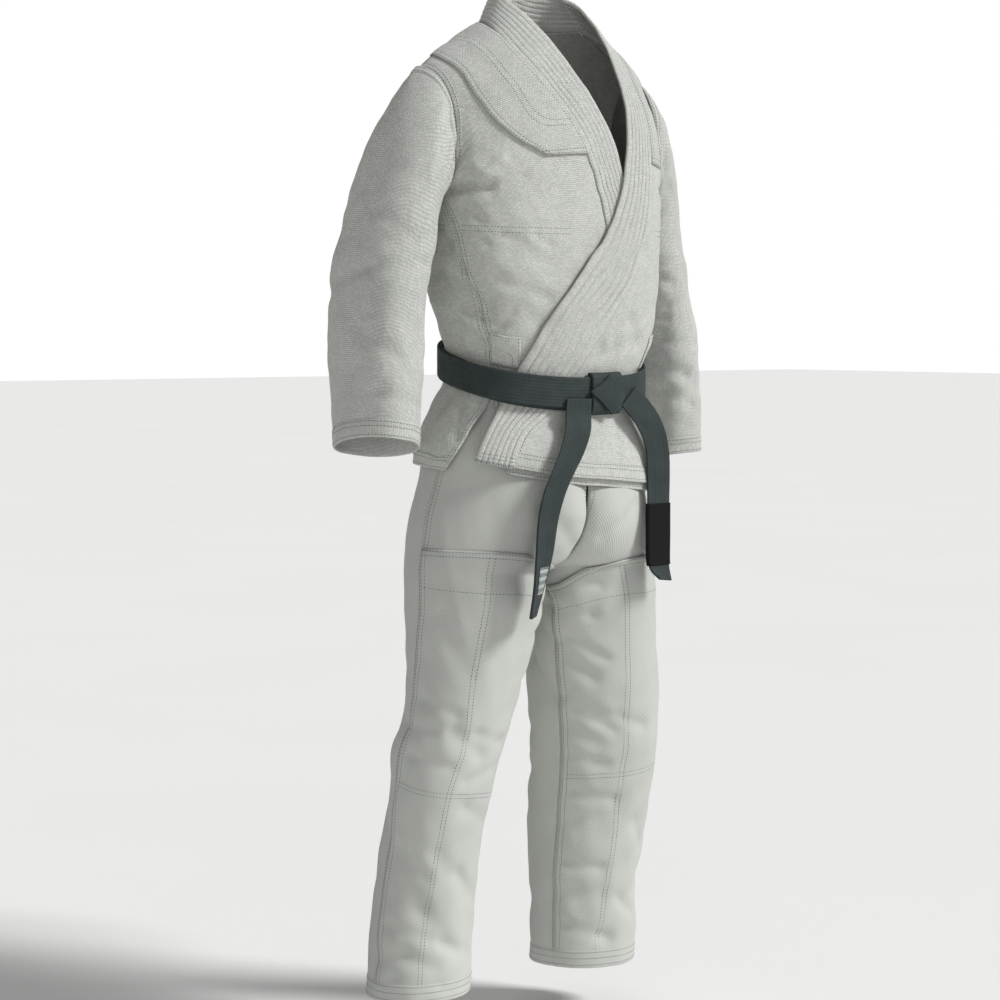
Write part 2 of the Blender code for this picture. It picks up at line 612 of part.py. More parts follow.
def beside_body(side, points):
    """The points' x, moved out where they would lie inside the jacket's body."""
    x, y, z = points[..., 0], points[..., 1], points[..., 2]
    ring = smooth(TORSO, np.minimum(z, ARMPIT))
    depth = np.where(y < ring.centre_y, ring.front, ring.back)
    left = np.clip(1 - np.abs((y - ring.centre_y) / depth) ** SQUARE, 0.0, 1.0)
    body = side * ring.centre_x + ring.half_width * left ** (1 / SQUARE) + BESIDE
    into = np.maximum(body - side * x, 0.0) * ramp(z, ARMPIT + 0.07, ARMPIT + 0.02)
    return x + side * into


def bare_sleeve(side, around, along):
    around, along = np.broadcast_arrays(np.asarray(around, float), np.asarray(along, float))
    ring = smooth(SLEEVE[side], along)
    turn, lean = np.radians(around), np.radians(ring.lean)
    out, front = ring.reach * rounded(np.cos(turn)), ring.depth * np.sin(turn)
    droop = ring.droop * (np.cos(turn) + np.sin(turn))
    own = np.stack([side * (ring.x + out * np.cos(lean)), ring.y - front,
                    ring.z + out * np.sin(lean) + droop], -1)
    own[..., 0] = beside_body(side, own)
    share = ramp(along, -0.02, CAP)[..., None]
    share = np.where(along[..., None] <= 0, 0.0, share)
    return armhole(side, around) * (1 - share) + own * share


def sleeve(side, material):
    def place(around, along):
        def bare(a, b):
            return bare_sleeve(side, a, b)
        points = bare(around, along)
        normal = facing(bare, around, np.clip(along, 0.003, 1.0), 1.0, 0.002) * side
        height = fold_height(points, SLEEVE_FOLDS[side], bare) * ramp(along, 0.0, 0.12)
        return points + normal * height[..., None]
    name = "sleeve_" + ("left" if side > 0 else "right")
    around = np.linspace(0, 360, 2 * ARM_STEPS + 1)
    along = np.array((0, 0.03, 0.07, 0.12, 0.17, 0.23, 0.3, 0.37, 0.44, 0.52, 0.6, 0.7, 0.8, 0.9, 1.0))
    push = (armhole(side, around, 0.01) - armhole(side, around, 0.0))[:, None, :]
    return Cloth(name, place, around, along, CLOTH, material, ring=True, push=push)


def bare_leg(side, around, level):
    """The trousers: around 0 is the outer side, 90 the front, 180 the inner side, 270 the back."""
    around, level = np.broadcast_arrays(np.asarray(around, float), np.asarray(level, float))
    ring = smooth(LEG[side], np.minimum(level, RISE_TOP))
    turn = np.radians(around)
    inward = (1 - np.cos(turn)) / 2
    bend = np.clip((level - CROTCH) / (RISE_TOP - CROTCH), 0.0, 1.0) * np.pi / 2
    front = np.sin(turn) >= 0
    seat = np.where(front, SEAT_FRONT, SEAT_BACK)
    inner_y = np.where(level > CROTCH, ring.centre_y + (seat - ring.centre_y) * np.sin(bend), ring.centre_y)
    inner_z = np.where(level > CROTCH, CROTCH + (RISE_TOP - CROTCH) * (1 - np.cos(bend)), level)
    inner_z = np.where(level > RISE_TOP, level, inner_z)
    middle, half = (ring.outer_x + ring.inner_x) / 2, (ring.outer_x - ring.inner_x) / 2
    x = middle + half * np.cos(turn) + ring.shear * np.sin(turn)
    depth = np.where(front, ring.front, ring.back)
    y = ring.centre_y + (inner_y - ring.centre_y) * inward - depth * np.sin(turn)
    z = level + (inner_z - level) * inward ** 2
    own = np.stack([side * x, y, z], -1)
    angle = np.where(np.mod(around, 360) <= 180, 90 - np.mod(around, 360) / 2,
                     90 + (360 - np.mod(around, 360)) / 2)
    inset = smooth(INSET, level).depth
    normal = facing(bare_torso, side * angle, level, 0.5, 0.002)
    worn = bare_torso(side * angle, level) - normal * inset[..., None]
    share = ramp(level, HIP_LOW, HIP_HIGH)[..., None]
    return own * (1 - share) + worn * share


def leg(side, around, level, off=0.0):
    def bare(a, b):
        return bare_leg(side, a, b)
    points = bare(around, level)
    normal = -facing(bare, around, level, 0.5, 0.002) * side
    height = off + fold_height(points, LEG_FOLDS[side], bare)
    return points + normal * np.asarray(height)[..., None]


LEG_LEVELS = np.concatenate([np.linspace(LEG_HEM, 0.68, 14), [CROTCH, 0.715, 0.735, 0.77, 0.805, RISE_TOP],
                             [0.87, 0.91, 0.9643]])


def inseam(level):
    """Where the inseam runs: turned to the front on the leg, at the centre seam above the crotch."""
    return 180.0 - INSEAM_TURN * ramp(level, CROTCH, CROTCH - 0.06)


def panel_place(side, front, off=0.0):
    """Place on a front or back panel, by share of its width and level."""
    gap = degrees_for(SEAM / 2, 0.09)

    def place(share, level):
        inner = inseam(level)
        start = OUTSEAM + gap if front else 360 + OUTSEAM - gap
        end = inner - gap if front else inner + gap
        return leg(side, start + (end - start) * share, level, off)
    return place


def trouser_panel(side, front, material):
    """A front or back panel, from the outseam to the inseam and the centre seam."""
    name = "trouser_" + ("front_" if front else "back_") + ("left" if side > 0 else "right")
    place = panel_place(side, front)
    shares = np.linspace(0, 1, PANEL_COLUMNS)
    return Cloth(name, place, shares, LEG_LEVELS, CLOTH, material, side=side, room=ON_PANEL)


def knee_patch(side, material):
    """The second layer over the front of a leg, from the double seam on the thigh to the hem."""
    name = "knee_patch_" + ("left" if side > 0 else "right")
    levels = LEG_LEVELS[LEG_LEVELS < PATCH_TOP[side] + CLOTH]
    on_panel = panel_place(side, True, ON_PANEL)

    def place(share, level):
        near_top = np.clip((level - PATCH_BEND) / (PATCH_TOP[side] - PATCH_BEND), 0.0, 1.0)
        dip = PATCH_DIP * ramp(share, 0.5, 1.0) * near_top
        return on_panel(share, level - dip)
    return Cloth(name, place, np.linspace(0, 1, PANEL_COLUMNS), levels, OVERLAY, material, side=side)


def waistband(material):
    def place(angle, level):
        return torso(angle, level, -(CLOTH / 2 + SEAM + WAIST_THICK / 2))
    return Cloth("waistband", place, np.linspace(0, 360, 37), WAIST_LEVELS, WAIST_THICK, material, ring=True)


def yoke(material):
    """Second layer from the collar's seam edge out over the shoulders, and round the nape."""
    def place(share, station):
        side = np.where(station < 0, -1, 1)
        along = np.abs(station)
        front_level = RIDGE_LEVEL - (RIDGE_LEVEL - YOKE_LOW) * np.clip(along - 1, 0.0, 1.0)
        right, left = (smooth(FRONT_EDGE[s], front_level).seam for s in (-1, 1))
        seam = np.where(side < 0, right, left)
        right, left = (smooth(YOKE_EDGE[s], front_level).outer for s in (-1, 1))
        outer = np.where(side < 0, right, left)
        inner = seam + 0.3 + 2.2 * ramp(front_level, 1.38, RIDGE_LEVEL)
        front_angle = inner + (outer - inner) * share
        lean = np.clip(along, 0.0, 1.0) * np.pi / 2
        back_seam = NECK_ANGLE * np.sin(lean)
        back_outer = YOKE_EDGE[1][-1].outer * np.sin(lean)
        back_angle = 180 - (back_seam + (back_outer - back_seam) * share)
        inner_level = neck_level(180 - back_seam) - 0.008
        outer_level = RIDGE_LEVEL - YOKE_DROP * np.cos(lean)
        back_level = inner_level + (outer_level - inner_level) * share
        angle = np.where(along > 1, front_angle, back_angle)
        level = np.where(along > 1, front_level, back_level)
        off = ON_PANEL + np.where((side > 0) & (along > 1), lap(front_angle, front_level), 0.0)
        return torso(side * angle, level, off)
    stations = np.concatenate([np.linspace(-2, -1, 8)[:-1], np.linspace(-1, 1, 15), np.linspace(1, 2, 8)[1:]])
    return Cloth("shoulder_yoke", place, np.linspace(0, 1, 6), stations, OVERLAY, material)


def vent_patch(side, material):
    """The small reinforcement on the front, at the top of the side vent."""
    def place(angle, level):
        off = ON_PANEL + (lap(angle, level) if side > 0 else 0.0)
        return torso(side * angle, level, off)
    name = "vent_patch_" + ("left" if side > 0 else "right")
    return Cloth(name, place, np.linspace(*PATCH_ANGLES, 7), np.linspace(*PATCH_LEVELS, 4), OVERLAY, material)


def girdle(angle):
    """Middle of the belt's inner turn, off the jacket's surface."""
    stand = LAP + COLLAR_THICK / 2 - CLOTH / 2 + 0.0005
    return CLOTH / 2 + SEAM + BELT_THICK / 2 + stand * ramp(np.abs(angle), 100.0, 72.0)


def round_belt(angle, level, off):
    """A point of the belt's upright band, which takes no folds."""
    angle, level = np.broadcast_arrays(np.asarray(angle, float), np.asarray(level, float))
    normal = facing(bare_torso, angle, np.full(level.shape, BELT_LEVEL), 0.5, 0.002)
    normal[..., 2] = 0.0
    points = bare_torso(angle, np.full(level.shape, BELT_LEVEL)) + unit(normal) * np.asarray(off)[..., None]
    points[..., 2] += level - BELT_LEVEL
    return points


def belt_turn(name, outer, drop, material):
    def place(angle, level):
        turned = np.mod(angle + 180, 360) - 180
        off = girdle(turned) + outer * (BELT_THICK + SEAM)
        return round_belt(angle, level - drop * np.cos(np.radians(angle)), off)
    half = BELT_WIDTH / 2
    levels = (BELT_LEVEL - half, BELT_LEVEL + half)
    return Cloth(name, place, np.linspace(0, 360, 61), levels, BELT_THICK, material, ring=True)


KNOT_ANGLES = (-1.0, 16.0)                # the knot's strap covers the belt between these
Flap = namedtuple("Flap", "angle turn width top fall slant stand bulge thick")
FLAP = Flap(2.0, 10.0, 9.0, 0.014, 0.034, 0.024, 0.0036, 0.002, 0.003)

Wrap = namedtuple("Wrap", "step off level")
KNOT_WRAP = [        # the knot's strap in section, from under the belt round its face to the top
    Wrap(0, -0.0062, -0.0300),
    Wrap(1, -0.0030, -0.0302),
    Wrap(2, -0.0002, -0.0275),
    Wrap(3, 0.0023, -0.0195),
    Wrap(4, 0.0033, 0.0),
    Wrap(5, 0.0023, 0.0190),
    Wrap(6, -0.0002, 0.0247),
    Wrap(7, -0.0030, 0.0258),
    Wrap(8, -0.0058, 0.0256),
]


def knot_wrap(material):
    """The strap of the knot that holds both turns of the belt together."""
    def place(angle, step):
        row = smooth(KNOT_WRAP, step)
        face = girdle(0.0) + BELT_THICK * 1.5 + SEAM
        return round_belt(angle, BELT_LEVEL + row.level, face + row.off)
    angles = np.linspace(*KNOT_ANGLES, 6)
    steps = np.linspace(0, len(KNOT_WRAP) - 1, 15)
    return Cloth("belt_knot_wrap", place, angles, steps, BELT_THICK, material)


def knot_flap(material):
    """The strap that crosses the knot's face, from its upper left to its lower right."""
    def place(share, step):
        angle = FLAP.angle + FLAP.turn * step + FLAP.width * (share - 0.5)
        level = BELT_LEVEL + FLAP.top - FLAP.fall * step + FLAP.slant * (share - 0.5)
        off = girdle(0.0) + BELT_THICK * 2.5 + 2 * SEAM + FLAP.stand + FLAP.bulge * np.sin(np.pi * share)
        return round_belt(angle, level, off)
    return Cloth("belt_knot_flap", place, np.linspace(0, 1, 6), np.linspace(0, 1, 7), FLAP.thick, material)


Strap = namedtuple("Strap", "step x y z turn lean")
TAILS = {            # middle of the strap, and how its width turns from +X and leans up
    -1: [
        Strap(0, -0.0250, -0.1234, 0.946, -3.5, 0.0),
        Strap(1, -0.0290, -0.1262, 0.928, -4.0, 0.0),
        Strap(2, -0.0390, -0.1370, 0.900, -6.0, 2.0),
        Strap(3, -0.0560, -0.1436, 0.870, -4.0, 4.0),
        Strap(4, -0.0740, -0.1455, 0.842, 0.0, 5.0),
        Strap(5, -0.0860, -0.1430, 0.815, 5.0, 3.0),
        Strap(6, -0.0924, -0.1372, 0.778, 12.0, 0.0),
        Strap(7, -0.0949, -0.1314, 0.726, 20.0, 0.0),
        Strap(8, -0.0979, -0.1241, 0.682, 33.0, 0.0),
        Strap(9, -0.1026, -0.1165, 0.640, 42.0, 0.0),
    ],
    1: [
        Strap(0, 0.0740, -0.1152, 0.948, 13.0, 38.0),
        Strap(1, 0.0890, -0.1230, 0.929, 8.0, 40.0),
        Strap(2, 0.1050, -0.1245, 0.909, 2.0, 34.0),
        Strap(3, 0.1180, -0.1232, 0.887, 0.0, 18.0),
        Strap(4, 0.1255, -0.1212, 0.862, 0.0, 5.0),
        Strap(5, 0.1284, -0.1193, 0.835, 0.0, 0.0),
        Strap(6, 0.1305, -0.1172, 0.791, 3.0, 0.0),
        Strap(7, 0.1320, -0.1158, 0.744, 4.0, 0.0),
        Strap(8, 0.1340, -0.1154, 0.700, 8.0, 0.0),
        Strap(9, 0.1440, -0.1187, 0.678, 26.0, -8.0),
    ],
}


def strap_frame(side, step):
    """Middle and width direction of a belt end."""
    row = smooth(TAILS[side], step)
    turn, lean = np.radians(row.turn), np.radians(row.lean)
    middle = np.stack([row.x, row.y, row.z], -1)
    width = np.stack([np.cos(turn) * np.cos(lean), np.sin(turn) * np.cos(lean), np.sin(lean)], -1)
    return middle, width


def belt_tail(side, material):
    def place(share, step):
        middle, width = strap_frame(side, step)
        return middle + width * ((share - 0.5) * BELT_WIDTH)[..., None]
    name = "belt_tail_" + ("left" if side > 0 else "right")
    return Cloth(name, place, np.linspace(0, 1, 3), np.linspace(0, 9, 28), BELT_THICK, material)


def strap_cover(name, side, first, last, inner, thick, material):
    """A flat sleeve round a belt end, as wide and deep as inner says from the strap's middle."""
    half = [(-1, -1), (0, -1), (1, -1), (1, 0)]
    corners = np.array(half + [(-x, -y) for x, y in half] + half[:1], float)
    reach = np.array((BELT_WIDTH / 2, BELT_THICK / 2)) + inner + thick / 2

    def place(corner, step):
        i = np.clip(np.floor(corner).astype(int), 0, 7)
        part = (corner - i)[..., None]
        at = (corners[i] * (1 - part) + corners[i + 1] * part) * reach
        middle, width = strap_frame(side, step)
        ahead, behind = strap_frame(side, step + 0.05)[0], strap_frame(side, step - 0.05)[0]
        out = unit(np.cross(width, ahead - behind))
        return middle + width * at[..., :1] + out * at[..., 1:]
    return Cloth(name, place, np.arange(9), np.linspace(first, last, 5), thick, material, ring=True)


def belt_tag(material):
    """A small plain woven tag on the face of the right end."""
    def place(share, step):
        middle, width = strap_frame(-1, step)
        ahead, behind = strap_frame(-1, step + 0.05)[0], strap_frame(-1, step - 0.05)[0]
        out = unit(np.cross(width, ahead - behind))
        flip = np.where(out[..., 1:2] > 0, -1.0, 1.0)
        stand = BELT_THICK / 2 + SEAM + TAG_THICK / 2
        return middle + width * ((share - 0.5) * TAG_WIDTH)[..., None] + out * flip * stand
    return Cloth("belt_tag", place, np.linspace(0, 1, 3), np.linspace(*TAG_STEPS, 4), TAG_THICK, material)


def build():
    for piece in list(bpy.data.objects):
        bpy.data.objects.remove(piece, do_unlink=True)
    jacket = finish("pearl weave cotton", (0.52, 0.53, 0.50), 0.9)
    twill = finish("cotton twill", (0.50, 0.51, 0.49), 0.85)
    webbing = finish("stitched belt cotton", (0.045, 0.055, 0.06), 0.75)
    plain = finish("black cotton sleeve", (0.008, 0.009, 0.009), 0.8)
    tag = finish("woven tag", (0.30, 0.30, 0.30), 0.7)

    back, right = back_panel(BACK_HEM, jacket), front_panel(-1, FRONT_HEM[-1], jacket)
    lapels = collar(jacket).clear([right, back])
    middle = lapels.lift.shape[1] // 2
    left = front_panel(1, FRONT_HEM[1], jacket).clear([right])
    lapels.clear([lapels], first=middle)
    shell = [back, right, left]
    shoulders = yoke(jacket).clear(shell)
    patches = [vent_patch(side, jacket).clear([left, right]) for side in (-1, 1)]
    sleeves = [sleeve(side, jacket).clear([back, right, left, shoulders]) for side in (-1, 1)]
    lining = shell + [lapels]
    under = belt_turn("belt_wrap_under", 0, BELT_DROP, webbing).clear(lining + patches)
    over = belt_turn("belt_wrap_over", 1, 0.0, webbing).clear([under])
    wrap = knot_wrap(webbing).clear([under, over])
    flap = knot_flap(webbing).clear([over, wrap])
    tails = [belt_tail(side, webbing).clear([over, wrap, flap] + shell) for side in (-1, 1)]
    bar = strap_cover("rank_bar", 1, *BAR_STEPS, SEAM, BAR_THICK, plain).clear([tails[1]])
    label = belt_tag(tag).clear([tails[0]])
    legs = [trouser_panel(side, front, twill).clear(lining, -1)
            for side in (-1, 1) for front in (True, False)]
    knees = [knee_patch(side, twill).clear(legs) for side in (-1, 1)]
    band = waistband(twill).clear(lining, -1)
    girdle_parts = tails + [under, over, wrap, flap, bar, label]
    for piece in lining + patches + sleeves + legs + knees + girdle_parts + [shoulders, band]:
        piece.make()


build()
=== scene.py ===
import math
from collections import namedtuple

import bmesh
import bpy
import numpy as np
from mathutils import Matrix, Vector
from mathutils.bvhtree import BVHTree


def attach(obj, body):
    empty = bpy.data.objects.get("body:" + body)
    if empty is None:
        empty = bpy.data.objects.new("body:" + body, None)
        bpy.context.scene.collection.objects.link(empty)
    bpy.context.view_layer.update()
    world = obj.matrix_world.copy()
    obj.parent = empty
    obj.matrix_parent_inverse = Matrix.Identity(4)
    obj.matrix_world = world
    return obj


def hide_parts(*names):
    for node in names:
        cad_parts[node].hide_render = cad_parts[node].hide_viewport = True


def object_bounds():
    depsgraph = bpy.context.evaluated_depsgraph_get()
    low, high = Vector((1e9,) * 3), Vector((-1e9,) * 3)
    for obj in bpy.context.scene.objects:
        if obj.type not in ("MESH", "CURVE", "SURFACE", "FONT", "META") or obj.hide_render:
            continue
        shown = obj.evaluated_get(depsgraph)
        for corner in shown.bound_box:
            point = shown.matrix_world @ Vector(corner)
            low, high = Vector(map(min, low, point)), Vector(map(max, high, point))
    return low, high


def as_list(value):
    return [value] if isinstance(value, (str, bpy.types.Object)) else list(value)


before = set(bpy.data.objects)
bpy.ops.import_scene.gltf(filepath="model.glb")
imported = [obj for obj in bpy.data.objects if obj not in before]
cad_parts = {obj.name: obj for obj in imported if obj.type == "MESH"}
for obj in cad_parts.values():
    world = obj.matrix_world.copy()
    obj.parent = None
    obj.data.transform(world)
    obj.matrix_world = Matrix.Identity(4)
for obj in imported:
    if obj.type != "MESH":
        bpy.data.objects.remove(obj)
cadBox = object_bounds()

# A jiu-jitsu suit filled out by no one: jacket, trousers and belt, in metres, facing -Y.
# The first part repeats the cut of the solids; the second makes the fine cloth, seams and sewing on it.
scene = bpy.context.scene
scene.view_settings.view_transform = "Standard"

# Heights in the tables are above the floor; hold is where shoulders and nape carry the jacket.
hold = np.array((0.0, 0.03, 1.46))

clothThick = 0.002          # jacket and trouser cloth
seamGap = 0.0003          # clearance between neighbouring pieces
overlayThick = 0.0015       # second layers: yoke, vent patches, knee patches
collarWidth = 0.053
collarThick = 0.006
beltThick = 0.004
beltWidth = 0.042
lapStand = 0.0066           # the left front stands this far off the right one and its collar
layerGap = 0.00022                       # kept between layers when one is lifted off another
liftStep = 0.00015
besideGap = 0.006                            # between the body and the middle of the sleeve's inner side
ridgeGap = 0.0011                        # between each panel's wall and the shoulder line
liftRounds = 60
onPanel = clothThick / 2 + seamGap + overlayThick / 2

square = 2.4           # roundness of the torso's sections, 2 is an ellipse
armpitLevel = 1.245         # level of the armpits; above it the torso arches to the shoulder line
archRise = 0.2             # levels above armpitLevel run over this much, up to the shoulder line
ridgeLevel = armpitLevel + archRise
shoulderSpread = 0.2265        # shoulder line: x is this times the sine of the angle
tipAngle = 62.0       # angle of the shoulder tip, where the armhole crosses the shoulder line
neckAngle = 23.0      # angle of the neck point on the shoulder line
napeDrop = 0.28       # the back of the neck lies this share of archRise below the shoulder line
beltLevel = 0.985     # middle of the belt
crotchLevel = 0.70
riseTop = 0.84        # the centre seams bend under the crotch below this level
armSteps = 10         # steps of the armhole from the shoulder tip to the armpit

Torso = namedtuple("Torso", "level halfWidth front back centreX centreY tilt roll")
torsoRings = [
    Torso(0.80, 0.188, 0.126, 0.138, 0.0, 0.002, 0.013, 0.025),
    Torso(0.84, 0.186, 0.125, 0.136, 0.0, 0.002, 0.013, 0.025),
    Torso(0.90, 0.170, 0.118, 0.120, 0.002, 0.002, 0.020, 0.012),
    Torso(0.96, 0.146, 0.105, 0.100, 0.004, 0.002, 0.030, 0.0),
    Torso(1.00, 0.146, 0.105, 0.100, 0.004, 0.002, 0.030, 0.0),
    Torso(1.04, 0.160, 0.118, 0.110, 0.008, 0.002, 0.024, 0.0),
    Torso(1.10, 0.176, 0.126, 0.118, 0.005, 0.002, 0.012, 0.0),
    Torso(1.18, 0.184, 0.128, 0.122, 0.002, 0.002, 0.004, 0.0),
    Torso(1.245, 0.187, 0.126, 0.122, 0.0, 0.002, 0.0, 0.0),
]

Ridge = namedtuple("Ridge", "across y height")
ridgeRows = [
    Ridge(0.0, 0.015, 1.512),
    Ridge(0.075, 0.015, 1.487),
    Ridge(0.14, 0.018, 1.452),
    Ridge(0.20, 0.020, 1.410),
    Ridge(0.235, 0.020, 1.375),
]

Edge = namedtuple("Edge", "level seam free")
frontEdge = {      # angle of the collar's seam edge and free edge, left front and right front
    1: [
        Edge(0.80, -42.0, -62.0),
        Edge(0.842, -40.0, -60.0),
        Edge(0.915, -34.0, -56.0),
        Edge(0.960, -22.0, -53.0),
        Edge(1.007, -10.0, -43.0),
        Edge(1.042, -3.0, -34.0),
        Edge(1.080, 4.0, -22.0),
        Edge(1.112, 13.0, -12.0),
        Edge(1.145, 21.0, -4.0),
        Edge(1.207, 30.0, 7.0),
        Edge(1.267, 33.0, 14.5),
        Edge(1.322, 33.0, 19.0),
        Edge(1.360, 32.0, 20.0),
        Edge(1.400, 29.0, 17.0),
        Edge(1.445, 23.0, 12.0),
    ],
    -1: [
        Edge(0.80, -42.0, -62.0),
        Edge(0.842, -40.0, -60.0),
        Edge(0.960, -30.0, -52.0),
        Edge(1.020, -26.0, -48.0),
        Edge(1.080, -19.0, -41.0),
        Edge(1.140, -11.0, -32.0),
        Edge(1.200, -5.0, -23.0),
        Edge(1.235, -3.0, -18.0),
        Edge(1.260, 0.0, -12.5),
        Edge(1.280, 4.0, -9.0),
        Edge(1.300, 10.0, -3.5),
        Edge(1.320, 16.0, 1.0),
        Edge(1.360, 24.0, 6.5),
        Edge(1.400, 26.0, 9.0),
        Edge(1.445, 23.0, 12.0),
    ],
}

Side = namedtuple("Side", "level frontAngle backAngle")
sideSeam = {       # where front and back meet at the side, and part below the belt as a vent
    1: [
        Side(0.80, 50.0, 88.0),
        Side(0.852, 53.0, 75.0),
        Side(0.90, 57.0, 70.0),
        Side(0.955, 61.0, 64.0),
        Side(1.00, 61.0, 61.0),
        Side(1.057, 64.0, 64.0),
        Side(1.13, 72.0, 72.0),
        Side(1.19, 77.0, 77.0),
        Side(1.245, 90.0, 90.0),
    ],
    -1: [
        Side(0.80, 38.0, 88.0),
        Side(0.852, 43.0, 75.0),
        Side(0.90, 50.0, 70.0),
        Side(0.955, 61.0, 64.0),
        Side(1.00, 61.0, 61.0),
        Side(1.057, 64.0, 64.0),
        Side(1.13, 72.0, 72.0),
        Side(1.19, 77.0, 77.0),
        Side(1.245, 90.0, 90.0),
    ],
}

Overlay = namedtuple("Overlay", "level outer")
yokeEdge = {       # outer edge of the shoulder reinforcement on the fronts
    1: [
        Overlay(1.267, 50.0),
        Overlay(1.300, 53.0),
        Overlay(1.340, 54.0),
        Overlay(1.400, 54.0),
        Overlay(1.445, 51.0),
    ],
    -1: [
        Overlay(1.267, 21.0),
        Overlay(1.278, 31.0),
        Overlay(1.295, 41.0),
        Overlay(1.330, 50.0),
        Overlay(1.380, 52.0),
        Overlay(1.417, 53.0),
        Overlay(1.445, 51.0),
    ],
}
yokeLow = 1.267       # the reinforcement ends at this level in front
yokeDrop = 0.12       # and this far below the shoulder line's level at the middle of the back

Sleeve = namedtuple("Sleeve", "along x y z reach depth lean droop")
sleeveRings = {
    -1: [
        Sleeve(0.00, 0.188, 0.015, 1.327, 0.083, 0.075, 80.0, 0.0),
        Sleeve(0.12, 0.204, 0.015, 1.303, 0.067, 0.075, 58.0, 0.0),
        Sleeve(0.25, 0.233, 0.020, 1.245, 0.053, 0.080, 38.0, 0.0),
        Sleeve(0.40, 0.253, 0.022, 1.175, 0.054, 0.083, 15.0, 0.0),
        Sleeve(0.55, 0.267, 0.025, 1.110, 0.053, 0.084, 4.0, 0.0),
        Sleeve(0.75, 0.275, 0.020, 1.000, 0.051, 0.083, 0.0, 0.0),
        Sleeve(1.00, 0.280, 0.012, 0.880, 0.048, 0.072, 0.0, 0.012),
    ],
    1: [
        Sleeve(0.00, 0.188, 0.015, 1.327, 0.083, 0.075, 80.0, 0.0),
        Sleeve(0.12, 0.200, 0.025, 1.305, 0.066, 0.073, 58.0, 0.0),
        Sleeve(0.25, 0.228, 0.043, 1.250, 0.050, 0.074, 38.0, 0.0),
        Sleeve(0.40, 0.235, 0.048, 1.175, 0.046, 0.078, 12.0, 0.0),
        Sleeve(0.55, 0.251, 0.050, 1.105, 0.048, 0.082, 4.0, 0.0),
        Sleeve(0.75, 0.274, 0.055, 0.990, 0.049, 0.082, 0.0, 0.0),
        Sleeve(1.00, 0.290, 0.058, 0.852, 0.048, 0.072, 0.0, 0.004),
    ],
}
capShare = 0.20             # the sleeve takes its own section over this share of its length

Leg = namedtuple("Leg", "level outerX innerX centreY front back shear")
legRings = {
    -1: [
        Leg(0.075, 0.238, 0.080, 0.082, 0.068, 0.070, 0.004),
        Leg(0.20, 0.232, 0.074, 0.078, 0.072, 0.074, 0.010),
        Leg(0.30, 0.228, 0.068, 0.066, 0.078, 0.076, 0.016),
        Leg(0.40, 0.222, 0.056, 0.046, 0.082, 0.080, 0.020),
        Leg(0.50, 0.211, 0.036, 0.028, 0.084, 0.082, 0.018),
        Leg(0.60, 0.210, 0.018, 0.016, 0.088, 0.092, 0.006),
        Leg(0.68, 0.209, 0.006, 0.010, 0.094, 0.102, 0.0),
        Leg(0.70, 0.209, 0.0, 0.010, 0.094, 0.104, 0.0),
        Leg(0.76, 0.205, 0.0, 0.006, 0.075, 0.090, 0.0),
        Leg(0.84, 0.187, 0.0, 0.002, 0.058, 0.068, 0.0),
    ],
    1: [
        Leg(0.075, 0.231, 0.080, 0.085, 0.070, 0.070, 0.008),
        Leg(0.20, 0.232, 0.074, 0.080, 0.074, 0.074, 0.010),
        Leg(0.30, 0.234, 0.066, 0.066, 0.078, 0.076, 0.016),
        Leg(0.40, 0.230, 0.055, 0.046, 0.082, 0.080, 0.020),
        Leg(0.50, 0.221, 0.036, 0.028, 0.084, 0.082, 0.018),
        Leg(0.60, 0.210, 0.018, 0.016, 0.088, 0.090, 0.008),
        Leg(0.68, 0.205, 0.006, 0.010, 0.094, 0.098, 0.0),
        Leg(0.70, 0.204, 0.0, 0.010, 0.094, 0.100, 0.0),
        Leg(0.76, 0.198, 0.0, 0.006, 0.075, 0.084, 0.0),
        Leg(0.84, 0.185, 0.0, 0.002, 0.058, 0.066, 0.0),
    ],
}
seatFront, seatBack = -0.112, 0.124     # y of the centre seams at riseTop
outseamAngle = 4.0                             # angle of the outseam round the leg
legHem = 0.075
patchBend = 0.60                         # level from which its rows come down with it
collarGap = 0.0010                       # from each front's edge to the collar's seam line
lapelHem = 0.843
collarFoot = (0.024, 0.06)               # start of its width where it lies flat, and where it stands
ventTop = 0.985
legApart = 0.1                           # from the middle plane to each leg's middle
panelColumns = 9
patchTop = {-1: 0.735, 1: 0.715}         # the double seam above each knee patch
patchDip = 0.046                         # how far it comes down to the inseam
hipLow, hipHigh = 0.79, 0.87            # the trousers leave the jacket's form between these

Inset = namedtuple("Inset", "level depth")
insetRows = [Inset(0.78, 0.008), Inset(0.86, 0.009), Inset(0.92, 0.010), Inset(0.965, 0.0028), Inset(1.01, 0.0028)]

